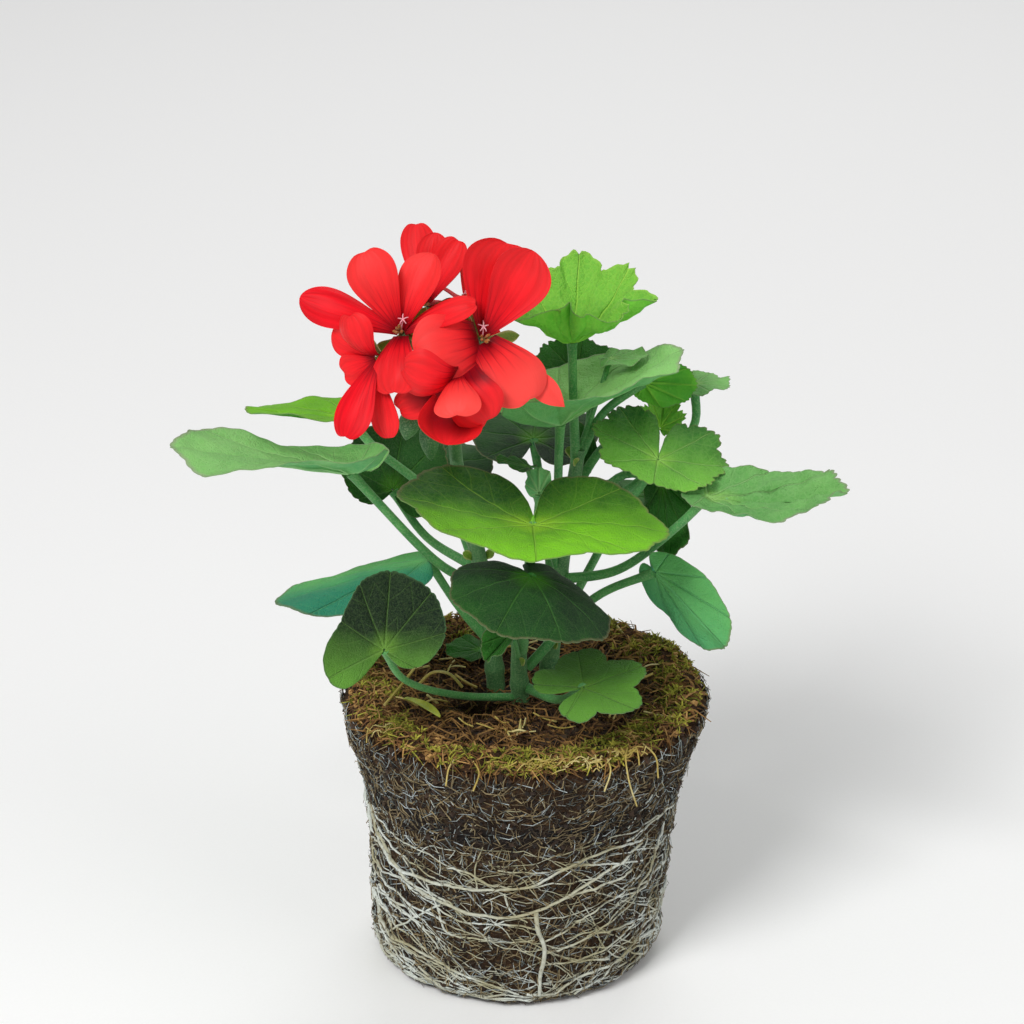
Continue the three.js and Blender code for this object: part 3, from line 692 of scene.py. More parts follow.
def blade_grid(leaf, angle, out):
    """The flat place and the bent place of each point of a blade."""
    front = np.linalg.norm(seen(leaf["tip"]))
    half = np.linalg.norm(seen(leaf["side"]))
    back = leaf["back"]
    reach = (front + back) / 2
    right = angle > 0
    around = angle / math.radians(180 - leaf["gap"])
    lobe = np.abs(np.cos(leaf["lobes"] * angle / 2))
    basal = np.maximum(0, -np.cos(angle)) ** 2 * np.where(right, *leaf["basal"])
    size = max(front, half, back)
    bumps = np.abs(np.sin(leaf["teeth"] * angle / 2)) ** TOOTH_SHARPNESS - 1
    teeth = leaf["tooth"] / size * out ** 8 * bumps
    edge = out * (
        1 - leaf["depth"] * (1 - lobe) + basal - leaf["notch"] * around ** 8 + teeth)
    toward, more, spread = leaf["stretch"]
    edge = edge * (1 + more * np.exp(-((angle - math.radians(toward)) / math.radians(spread)) ** 2))
    edge = edge * (1 - SINUS_DEPTH * around ** SINUS_SHARPNESS)
    u = edge * (front - reach + reach * np.cos(angle))
    v = edge * half * np.sin(angle) * np.where(right, 1, leaf["off_width"])
    ahead = np.maximum(u, 0) / front
    flatter = 1 - leaf["open"] * np.sqrt(ahead)
    fold, curl = (np.where(v > 0, *pair) * flatter for pair in zip(leaf["to_side"], leaf["off_side"]))
    along, rise = bend(
        np.abs(u), np.where(u > 0, front, back), 0,
        np.where(u > 0, leaf["tip_curl"], leaf["back_curl"]))
    across, lift = bend(np.abs(v), half, fold, curl)
    roll = math.radians(leaf["twist"]) * (1 - ahead ** 2)
    sideways = np.sign(v) * across
    height = lift + leaf["cup"] * out ** CUP_CURVE
    length, side, face = (axis[None, None] for axis in axes_of(leaf["tip"], leaf["side"]))
    bent = np.array(leaf["place"], dtype=float) \
        + (np.sign(u) * along)[..., None] * length \
        + (sideways * np.cos(roll) - height * np.sin(roll))[..., None] * side \
        + (sideways * np.sin(roll) + height * np.cos(roll) + rise)[..., None] * face
    return np.stack([u, v], axis=-1), bent


def blade_columns(leaf, size):
    """Angles round the stalk that fall on each main vein and on each border between lobes."""
    last = math.radians(180 - leaf["gap"])
    stops = [math.pi * k / leaf["lobes"] for k in range(-leaf["lobes"], leaf["lobes"] + 1)]
    stops = [-last] + [stop for stop in stops if abs(stop) < last - CLOSEST_COLUMNS] + [last]
    angles = [stops[0]]
    for start, end in zip(stops, stops[1:]):
        count = max(2, round((end - start) * size / MARGIN_STEP))
        angles += list(np.linspace(start, end, count + 1)[1:])
    return np.array(angles)


print("A plain leaf has", PLAIN_LEAF["lobes"], "lobes and", PLAIN_LEAF["teeth"], "teeth")

# %% [markdown]
# The mesh of a blade is made in four steps: lay the points of the grid, lift them by creases,
# waves and quilting, move them apart to give the blade its thickness, and store for each corner
# of a face where it lies beside its main vein.

# %% Blade mesh


def blade(name, leaf, seed):
    """One leaf blade with teeth, creases, ribs, waves and its vein places."""
    spans = np.linalg.norm(seen(leaf["tip"])), np.linalg.norm(seen(leaf["side"])), leaf["back"]
    size = max(spans)
    angles = blade_columns(leaf, np.mean(spans))
    hub = HUB_RADIUS / size
    rows = max(FEWEST_ROWS, round(size / ROW_STEP))
    outs = hub + (1 - hub) * np.linspace(0, 1, rows) ** ROW_CROWDING
    angle, out = np.meshgrid(angles, outs)
    flat, bent = blade_grid(leaf, angle, out)
    spread = np.linalg.norm(flat, axis=-1)
    crease = np.abs(np.sin(leaf["lobes"] * angle / 2)) ** CREASE_SHARPNESS
    phase = seed * PHASE_STEP
    wave = np.sin(SLOW_WAVES * angle + phase)
    wave = wave + QUICK_SHARE * np.sin(QUICK_WAVES * angle - 2 * phase)
    relief = PLEAT * spread * crease * (PLEAT_END - out) + leaf["wave"] * out ** 3 * wave
    quilting = [
        noise.noise(Vector((*spot, QUILT_SHIFT * seed)) / QUILT_SIZE)
        for spot in flat.reshape(-1, 2)]
    quilting = np.reshape(quilting, out.shape)
    relief = relief + leaf["quilt"] * quilting * np.minimum(1, QUILT_RISE * out)
    bent = bent + normals_of(bent) * relief[..., None]
    normal = normals_of(bent)
    thick = (BLADE_THICKNESS + (MARGIN_THICKNESS - BLADE_THICKNESS) * out ** 2) / 2
    sector = np.round(angle * leaf["lobes"] / (2 * math.pi))
    vein_angle = sector * 2 * math.pi / leaf["lobes"]
    beside = spread * np.abs(np.sin(angle - vein_angle))
    rib = RIB_HEIGHT * min(1, size / BIG_LEAF) * (1 - out) ** RIB_FADE
    rib = rib * np.exp(-(beside / RIB_WIDTH) ** 2)
    top = bent + normal * thick[..., None]
    bottom = bent - normal * (thick + rib)[..., None]
    faces, cell = sheet_faces(rows, len(angles))
    points = np.concatenate([top.reshape(-1, 3), bottom.reshape(-1, 3)])
    piece = new_piece(name, points, faces, LEAF_FINISHES[leaf.get("finish", leaf["kind"])])
    upper = (rows - 1) * (len(angles) - 1)
    piece.data.polygons.foreach_set("material_index", np.arange(len(faces)) >= upper)
    middle = (angles[:-1] + angles[1:]) / 2
    cell_sector = np.round(middle * leaf["lobes"] / (2 * math.pi))[cell]
    vein_end = blade_grid(
        leaf, cell_sector[None] * 2 * math.pi / leaf["lobes"], np.ones((1, len(faces))))[0][0]
    vein_end /= np.linalg.norm(vein_end, axis=-1, keepdims=True)
    spots = faces % (rows * len(angles))
    corner = flat.reshape(-1, 2)[spots]
    along = np.sum(corner * vein_end[:, None], axis=-1)
    across = np.abs(corner[..., 0] * vein_end[:, None, 1] - corner[..., 1] * vein_end[:, None, 0])
    corner_out = out.reshape(-1)[spots]
    mark(piece, "vein_place", np.stack([along, across, corner_out], -1).reshape(-1, 3), "CORNER")
    # Each point gets a share of painted light: lighter where the blade faces the light, darker where
    # it turns away or lies in shade.
    base, forward, sideways = leaf["painted_light"]
    scaled = flat / np.array(spans[:2])
    lit = base + forward * scaled[..., 0] + sideways * scaled[..., 1]
    lit = np.clip(lit, DEEPEST_PAINTED_SHADE, 1).reshape(-1)
    mark(piece, "painted_light", np.concatenate([lit, lit]))
    smooth(piece)
    return piece


def grow_leaf(name, shape, seed):
    """A leaf is its blade and its stalk, grown as one piece."""
    leaf = {**PLAIN_LEAF, **shape}
    piece = blade(name + "_blade", leaf, seed)
    route = [*leaf["from"], leaf["place"]]
    reach = sum(math.dist(a, b) for a, b in zip(route, route[1:]))
    path = smooth_route(route, max(FEWEST_STALK_STEPS, round(reach / STALK_STEP)))
    share = np.linspace(0, 1, len(path))
    girths = leaf["stalk"] * (PETIOLE_FLARE + (1 - PETIOLE_FLARE) * share)
    girths = girths * (1 - PETIOLE_WAIST * np.sin(math.pi * share))
    girths = girths + HUB_SWELLING * leaf["stalk"] * share ** HUB_SWELLING_SHARPNESS
    path[-1] = path[-1] - BELOW_HUB * unit(path[-1] - path[-2])
    petiole = stalks(name + "_stalk", [(path, girths)], PETIOLE_SIDES, PETIOLE)
    return join([piece, petiole], name + "_grown")


print("A leaf stalk has", PETIOLE_SIDES, "sides")

# %% [markdown]
# Each leaf was laid out one by one: where it leaves its stem, where the hub sits, how far and which
# way its tip and its side reach, and how it folds and curls.

# %% Leaves
# The daylight of each leaf paints the light and shade that fall on it.
LEAVES = {
    "leaf_front_large": {
        "from": [(2, -12, 124), (4, -24, 150)], "place": (5.5, -38, 175.7), "tip": (1, -10.5, 27),
        "side": (45, -1, 0), "back": 32, "gap": 3, "depth": 0.05, "notch": 0.4, "tip_curl": -12,
        "back_curl": 40, "to_side": (6, -20), "off_side": (8, 14), "cup": 2, "stalk": 1.8,
        "kind": "mid_leaf", "teeth": 48, "wave": 0.5, "quilt": 0.6, "painted_light": (0.3, 0.7, 0.3)},
    "leaf_front_lower": {
        "from": [(2, -10, 116), (3, -26, 134)], "place": (4.8, -46, 161.3), "tip": (12, -14, 24),
        "side": (26, 1, -14), "back": 22, "gap": 6, "tip_curl": -35, "back_curl": -25,
        "off_side": (0, -25), "to_side": (-5, -40), "painted_light": (-0.1, 0.2, -0.25)},
    "leaf_left_low": {
        "from": [(1, -7, 97), (-19, -19, 104), (-37, -36, 119)], "place": (-43, -45, 134.3),
        "tip": (2, 26, -4), "side": (-14.5, 1, 3), "back": 12, "gap": 24, "basal": (0.75, -0.3),
        "depth": 0.02, "off_width": 1.35, "to_side": (0, 20), "off_side": (0, 20), "wave": 0.4,
        "stretch": (125, 0.5, 26), "stalk": 1.2, "finish": "shade_leaf",
        "painted_light": (0.28, -1.2, 0)},
    "leaf_left_edge": {
        "from": [(-8, 3, 112), (-19, -1, 128)], "place": (-29.4, -4, 147.2), "tip": (-51, -14, 4),
        "side": (0, -4, 15), "back": 12, "back_curl": 40, "to_side": (-8, -65),
        "depth": 0.015, "tooth": 0.4, "gap": 46, "finish": "teal_shade_leaf",
        "painted_light": (0.35, -0.25, -0.9)},
    "leaf_left_far": {
        "from": [(-12, 3, 134), (-25.9, -8, 148), (-46.8, -12, 173.7)], "place": (-54.5, -12, 183.1),
        "tip": (-59, 6, 8), "side": (0, -14.5, 16.5), "back": 20, "tip_curl": 6, "back_curl": 100,
        "twist": 36, "open": 1, "to_side": (22, 20), "off_side": (26, 24), "kind": "pale_leaf",
        "teeth": 44, "depth": 0.03, "quilt": 0.7, "wave": 1.0},
    "leaf_left_upper": {
        "from": [(-15, 3, 152), (-30.7, 6, 169.4), (-47.7, 10, 182.6)], "place": (-54.6, 12, 191.2),
        "tip": (-36, 3, -3), "side": (0, -1, 13), "back": 12, "back_curl": 40, "off_side": (60, 40),
        "to_side": (5, 0), "open": 0.8, "basal": (0, 0.5), "kind": "mid_leaf", "depth": 0.03},
    "leaf_behind_left": {
        "from": [(-12, 3, 140), (-30, 12, 148)], "place": (-41.7, 16, 163.7), "tip": (4, 24, -10),
        "side": (-19, 0, 0), "back": 12, "gap": 20, "basal": (-0.2, 0.2), "tooth": 1.2,
        "painted_light": (0.3, -0.2, 0)},
    "leaf_young_top": {
        "from": [(20, 5, 178), (19, 3, 200)], "place": (18.4, 4, 223), "tip": (3, 8, -26),
        "side": (-27, 0, 0), "back": 16, "gap": 4, "tip_curl": 50, "back_curl": -55, "cup": 14,
        "depth": 0.26, "kind": "young_leaf", "teeth": 40, "tooth": 1.9, "wave": 1.4, "quilt": 2.2,
        "painted_light": (0.5, 0.1, 0)},
    "leaf_upper_large": {
        "from": [(15, 4, 146), (14, -2, 172)], "place": (14.5, -4, 197.1), "tip": (42, 22, -6),
        "side": (0, 10, -22), "back": 25, "gap": 5, "cup": 3, "back_curl": 65, "open": 1,
        "to_side": (30, 25), "off_side": (42, 35), "kind": "pale_leaf", "teeth": 44,
        "quilt": 0.7, "wave": 1.1, "painted_light": (1.0, 0, 0)},
    "leaf_right_toothed": {
        "from": [(17, 5, 158), (36, 0, 166)], "place": (46.8, -6, 184.7), "tip": (-2, -9, 9),
        "side": (23, -7, -1), "back": 25, "gap": 3, "depth": 0.1, "back_curl": 10,
        "kind": "mid_leaf", "finish": "dull_leaf", "teeth": 44, "tooth": 2.2, "wave": 1.0,
        "quilt": 0.7, "painted_light": (0.4, 0.35, 0.06)},
    "leaf_right_long": {
        "from": [(14, 4, 136), (34, -3, 143), (54.3, -10, 163.3)], "place": (62.9, -12, 174),
        "tip": (46, -12, 6), "side": (3, 7, -13), "back": 12, "tip_curl": 40, "back_curl": 20,
        "to_side": (32, 20), "off_side": (10, 5), "kind": "pale_leaf", "teeth": 44, "tooth": 1.8,
        "wave": 1.2, "quilt": 1.5, "depth": 0.04, "painted_light": (0.2, 0.1, 0.1)},
    "leaf_right_low": {
        "from": [(4, -6, 108), (25.8, -6, 133.6)], "place": (46, -18, 149.5), "tip": (23, -25, 6),
        "side": (8.5, 7, 3), "back": 8, "off_side": (-35, -35), "to_side": (-20, -25), "depth": 0.02,
        "finish": "teal_shade_leaf", "painted_light": (0.7, -0.2, 0.35)},
    "leaf_right_hanging": {
        "from": [(16, 5, 150), (36, 10, 172)], "place": (49, 8, 171), "tip": (3, -26, 3),
        "side": (8, 1, 6), "back": 4},
    "leaf_base_front": {
        "from": [(4, -8, 101), (14, -24, 105)], "place": (22.2, -42, 118.8), "tip": (20, 7, -8),
        "side": (-18, 5, -10), "back": 18, "gap": 12, "lobes": 5, "depth": 0.24, "teeth": 40,
        "tooth": 0.8, "finish": "shade_leaf", "painted_light": (0.72, -0.15, -0.6)},
    "leaf_base_curled": {
        "from": [(1, -9, 112), (0, -18, 122)], "place": (-1.3, -22, 128.6), "tip": (-9, -9, 5),
        "side": (5, -4, 4), "back": 4, "off_side": (30, 60), "to_side": (30, 60), "stalk": 0.9,
        "teeth": 28, "tooth": 0.9},
    "leaf_back_toothed": {
        "from": [(20, 6, 176), (25, 22, 190)], "place": (20.4, 24, 201.9), "tip": (2, 14, -6),
        "side": (-17, 0, 0), "back": 10, "depth": 0.12, "tooth": 1.5},
    "leaf_back_right": {
        "from": [(17, 6, 154), (46, 18, 170), (60, 24, 184)], "place": (59.9, 28, 197.4),
        "tip": (12, 2, -4), "side": (0, 4, -10), "back": 10, "kind": "pale_leaf"},
    "leaf_upper_right": {
        "from": [(21, 5, 181), (29, 9, 195)], "place": (42.6, 14, 204), "tip": (18, -1, 2),
        "side": (0, -8, -2), "back": 6, "finish": "mid_leaf", "painted_light": (0.7, 0, 0)},
    "leaf_centre_folded": {
        "from": [(15, 5, 150), (17, 13, 160)], "place": (20.5, 16, 171.3), "tip": (0, 17, -4),
        "side": (-5, 0, 5), "back": 4, "off_side": (30, 50), "to_side": (30, 50), "stalk": 1.2,
        "teeth": 28, "tooth": 0.9},
    "young_shoot": {
        "from": [(18, 6, 166), (32, 20, 180)], "place": (48.5, 22, 183.6), "tip": (2, 13, -4),
        "side": (-9, 1, 0), "back": 4, "to_side": (35, 20), "off_side": (30, 20), "depth": 0.2,
        "kind": "young_leaf", "teeth": 32, "tooth": 1.4, "wave": 0.8},
    "leaf_rear_left": {
        "from": [(-10, 3, 128), (-20, 26, 148)], "place": (-30, 44, 160), "tip": (-8, 16, -24),
        "side": (-22, -2, 8), "back": 24, "tip_curl": -25, "painted_light": (0.1, 0.1, 0)},
    "leaf_rear_centre": {
        "from": [(13, 4, 122), (10, 24, 150)], "place": (6, 44, 170), "tip": (2, 16, -22),
        "side": (-23, 0, 0), "back": 19, "tip_curl": -20, "painted_light": (0.0, 0.1, 0)},
    "leaf_rear_right": {
        "from": [(12, 4, 114), (26, 24, 132)], "place": (38, 40, 150), "tip": (14, 10, -22),
        "side": (-18, 4, -14), "back": 22, "tip_curl": -25},
}

SMALL_LEAVES = {
    "small_leaf_upright": {
        "from": [(2, -12, 124), (5, -17, 150)], "place": (7.6, -20, 179), "tip": (0, 9, -3),
        "side": (5, 0, 0), "back": 2, "off_side": (25, 10), "to_side": (25, 10), "stalk": 1.1,
        "kind": "pale_leaf", "teeth": 20, "tooth": 0.4},
    "small_leaf_beaked": {
        "from": [(14, 4, 140), (8, -4, 165)], "place": (4, -10, 184), "tip": (-11, 3, 1),
        "side": (0, -2, 5), "back": 4, "stalk": 1.0, "teeth": 24, "tooth": 0.5},
    "small_leaf_upper": {
        "from": [(21, 5, 183), (27, 9, 200)], "place": (31, 11, 213.5), "tip": (13, 2, 0),
        "side": (0, 3, -6), "back": 5, "stalk": 0.9, "kind": "pale_leaf", "teeth": 24,
        "tooth": 0.5},
    "small_leaf_on_peat": {
        "from": [(-6, 3, 92), (-8, 14, 98.5)], "place": (-12, 23, 99.5), "tip": (-12, 2, -5),
        "side": (-1, -4, 7), "back": 4, "stalk": 1.0, "teeth": 28, "tooth": 0.5},
}

for seed, (leaf_name, leaf_shape) in enumerate({**LEAVES, **SMALL_LEAVES}.items()):
    nodes = [leaf_name] if leaf_name in LEAVES else []
    hand_over(grow_leaf(leaf_name, leaf_shape, seed), leaf_shape.get("kind", "dark_leaf"), *nodes)

# %% [markdown]
# A geranium petal is thin and silky. It is deep red in the throat, where dark veins fan out from
# the claw; that dark is partly its own colour and partly painted shade, which some petals carry
# further out. Its outer part is painted lighter on petals that face the lamps: painted light. A
# little sheen and subsurface light give the silk; fine ridges run the length of the petal.

# %% Petal finish
PETAL_VEINS = 6
STREAKS = (9.0, 1.3, 0.0)
PATCH_SIZE = 11
PATCH_SHARE = 0.5
SILK_RIDGE = 0.28
LINE_RAMP = ramp(0.0, 0.15, 1.0, 0.0)
LINE_FADE = ramp(0.12, 0.62, 0.62, 0.0)
RED_RAMP = ramp(0.5, 1.0, 0.0, 1.0)
PAINTED_GLOW_RAMP = ramp(0.1, 0.8, 0.0, 0.7)
THROAT_AND_SHADE_RAMP = ramp(0.0, 0.34, 0.9, 0.0)

# The attribute petal_place holds how far across and how far along a point is, and how far it lies
# out of the dark of the throat, which is partly the petal's own and partly painted shade. The noise
# is squeezed across the petal, so its grain runs along it as the silky ridges of a real petal do.
# Those are 0.1 mm wide and are drawn coarser, or they wouldn't show.
PETAL, tree, place = new_material("silky_red_petal")
spot = add_node(tree, "ShaderNodeAttribute", attribute_name="petal_place").outputs["Vector"]
parts = add_node(tree, "ShaderNodeSeparateXYZ", {0: spot}).outputs
patches = add_node(
    tree, "ShaderNodeTexNoise", {"Vector": place, "Scale": per_metre(PATCH_SIZE), "Detail": 1.0})
lengthwise = add_node(tree, "ShaderNodeVectorMath", {0: spot, 1: STREAKS}, operation="MULTIPLY")
nudged = add_node(tree, "ShaderNodeVectorMath", {0: lengthwise, 1: place}, operation="ADD")
streak = add_node(tree, "ShaderNodeTexNoise", {"Vector": nudged, "Scale": 1.0, "Detail": 3.0})
fanned = add_node(
    tree, "ShaderNodeMath", {0: parts["X"], 1: float(PETAL_VEINS), 2: streak},
    operation="MULTIPLY_ADD")
beside = add_node(tree, "ShaderNodeMath", {0: fanned, 1: 0.5}, operation="PINGPONG")
line = add_node(
    tree, "ShaderNodeMapRange", {"Value": beside, **LINE_RAMP}, interpolation_type="SMOOTHSTEP")
fade = add_node(
    tree, "ShaderNodeMapRange", {"Value": parts["Y"], **LINE_FADE},
    interpolation_type="SMOOTHSTEP")
veins = add_node(tree, "ShaderNodeMath", {0: line, 1: fade}, operation="MULTIPLY")
lightness = add_node(
    tree, "ShaderNodeMath", {0: patches, 1: PATCH_SHARE, 2: streak}, operation="MULTIPLY_ADD")
share = add_node(tree, "ShaderNodeMapRange", {"Value": lightness, **RED_RAMP})
# The outer part of a petal is painted lighter by the share of painted light the petal carries:
# painted light on the petals that face the lamps.
outer = add_node(tree, "ShaderNodeMapRange", {"Value": parts["Y"], **PAINTED_GLOW_RAMP})
lit = add_node(tree, "ShaderNodeAttribute", attribute_name="painted_light").outputs["Fac"]
painted_glow = add_node(tree, "ShaderNodeMath", {0: outer, 1: lit}, operation="MULTIPLY")
# Dark red in the throat: partly the petal's own colour, partly painted shade where petals hide each
# other.
throat_and_shade = add_node(
    tree, "ShaderNodeMapRange", {"Value": parts["Z"], **THROAT_AND_SHADE_RAMP},
    interpolation_type="SMOOTHSTEP")
layers = [
    "#C80014", (share, "#F80C20"), (painted_glow, "#FF4C46"), (throat_and_shade, "#74000F"), (veins, "#6B0012")]
finish_material(tree, layers, streak, SILK_RIDGE * MM, {
    "Roughness": 0.5, "Specular IOR Level": 0.13, "Sheen Weight": 0.07, "Sheen Roughness": 0.35,
    "Sheen Tint": srgb("#FF6A5C"), "Subsurface Weight": 0.12,
    "Subsurface Radius": (1.0, 0.25, 0.15), "Subsurface Scale": 0.0015})

# A sepal is a small tough leaf, olive green and matt, with a pale papery margin.
SEPAL_RIM_RAMP = ramp(0.3, 0.5, 0.0, 0.8)
SEPAL_HAIR = 0.6
SEPAL_RELIEF = 0.2

SEPAL, tree, place = new_material("olive_sepal")
spot = add_node(tree, "ShaderNodeAttribute", attribute_name="petal_place").outputs["Vector"]
parts = add_node(tree, "ShaderNodeSeparateXYZ", {0: spot}).outputs
side = add_node(tree, "ShaderNodeMath", {0: parts["X"]}, operation="ABSOLUTE")
rim = add_node(tree, "ShaderNodeMapRange", {"Value": side, **SEPAL_RIM_RAMP})
down = add_node(tree, "ShaderNodeTexNoise", {"Vector": place, "Scale": per_metre(SEPAL_HAIR)})
finish_material(
    tree, ["#4A7A18", (down, "#8FAE2A"), (rim, "#C4C27A")], down, SEPAL_RELIEF * MM,
    {"Roughness": 0.6, "Sheen Weight": 0.3, "Sheen Tint": srgb("#DDE8B0")})
print("Petal and sepal finishes made")

# %% [markdown]
# A petal starts as a narrow claw, widens late and has a blunt tip, sometimes with a shallow notch.
# Each one is bent as listed: it bows along its length, cups across it and may twist. Small ruffles
# keep the outline alive.

# %% Petals
CLAW_WIDTH = 2.2
PETAL_WIDENING = 2.15
PETAL_BLUNTNESS = 0.52
PETAL_THICKNESS = 0.35
TIP_THINNING = 0.6
PETAL_GRID = (28, 19)
SEPAL_GRID = (12, 7)
GRID_END = 0.999
TIP_CROWDING = 1.35
RUFFLE = 0.5
RUFFLE_STEP = 2.3
LONG_RUFFLES = 7
CROSS_RUFFLES = 9
SLANT_RUFFLES = 5
CROSS_SHARE = 0.7
TIP_NOTCH = 1.2
NOTCH_WIDTH = 0.17
PETAL_PAINTED_GLOW = 0.35
CALYX_RADIUS = 2
SEPAL_THICKNESS = 0.4


def petal_axes(tip, face):
    """The length, the width and the upper face of a petal."""
    length = unit(seen(tip))
    up = seen(face)
    up = unit(up - up @ length * length)
    return length, np.cross(up, length), up


def petal_sheet(name, place, petal, face, finish, thickness, seed, ruffle=0, notch=0,
                grid_size=SEPAL_GRID):
    """A petal or sepal on a grid across its width and along its length."""
    length, side, up = petal_axes(petal["tip"], petal.get("face", face))
    base = np.array(place, dtype=float) + length * CLAW_WIDTH / 2
    rows, columns = grid_size
    reached = GRID_END * (1 - (1 - np.linspace(0, 1, rows)) ** TIP_CROWDING)
    across, along = np.meshgrid(np.linspace(0.5, -0.5, columns), reached)
    bulge = np.sin(math.pi * along ** PETAL_WIDENING) ** petal.get("blunt", PETAL_BLUNTNESS)
    claw = petal.get("claw", min(CLAW_WIDTH, petal["width"] * 0.6))
    width = claw * (1 - along) + petal["width"] * bulge
    v = across * width
    roll = math.radians(petal.get("twist", 0)) * along
    phase = seed * RUFFLE_STEP
    wave = np.sin(LONG_RUFFLES * along + phase) * across * 2
    wave = wave + CROSS_SHARE * np.sin(CROSS_RUFFLES * across + SLANT_RUFFLES * along - phase)
    height = petal.get("cup", 0) * (2 * across) ** 2 * bulge + ruffle * wave * along * bulge
    arch = petal.get("bow", 0) * 4 * along * (1 - along)
    swayed = v + petal.get("sway", 0) * 4 * along * (1 - along)
    reach = np.linalg.norm(seen(petal["tip"])) * along
    has_notch = seed % 3 != 2
    dent = notch * has_notch * np.exp(-(v / (NOTCH_WIDTH * petal["width"])) ** 2)
    reach = reach - dent * np.clip(along * 4 - 3, 0, 1) ** 2
    grid = base + reach[..., None] * length \
        + (swayed * np.cos(roll) - height * np.sin(roll))[..., None] * side \
        + (swayed * np.sin(roll) + height * np.cos(roll) + arch)[..., None] * up
    normal = normals_of(grid)
    thick = thickness / 2 * (1 - TIP_THINNING * along ** 2)
    top = grid + normal * thick[..., None]
    bottom = grid - normal * thick[..., None]
    faces, _ = sheet_faces(rows, columns)
    piece = new_piece(
        name, np.concatenate([top.reshape(-1, 3), bottom.reshape(-1, 3)]), faces, [finish])
    # How far a point lies out of the dark throat. Some petals stretch that dark further out, darken
    # one side, or darken the middle of their cup: painted shade.
    throat_and_shade_place = along / petal.get("throat_and_shade", 1) + across * petal.get("painted_side_shade", 0)
    if "painted_hollow_shade" in petal:
        throat_and_shade_place = petal["painted_hollow_shade"] * (along ** 4 + (2 * across) ** 4)
    places = np.stack([across, along, throat_and_shade_place], -1).reshape(-1, 3)
    mark(piece, "petal_place", np.concatenate([places, places]))
    # How much painted light the outer part of this petal gets.
    mark(piece, "painted_light", np.full(2 * len(places), petal.get("painted_glow", PETAL_PAINTED_GLOW)))
    smooth(piece)
    return piece


print("A petal has", PETAL_GRID[0], "by", PETAL_GRID[1], "points on each face")

# %% [markdown]
# The umbel has six open florets of five petals. Each petal has its own direction, width and bend,
# as the photo shows them. The turns of the sepals are listed where some of them would stand in
# the way of a petal.

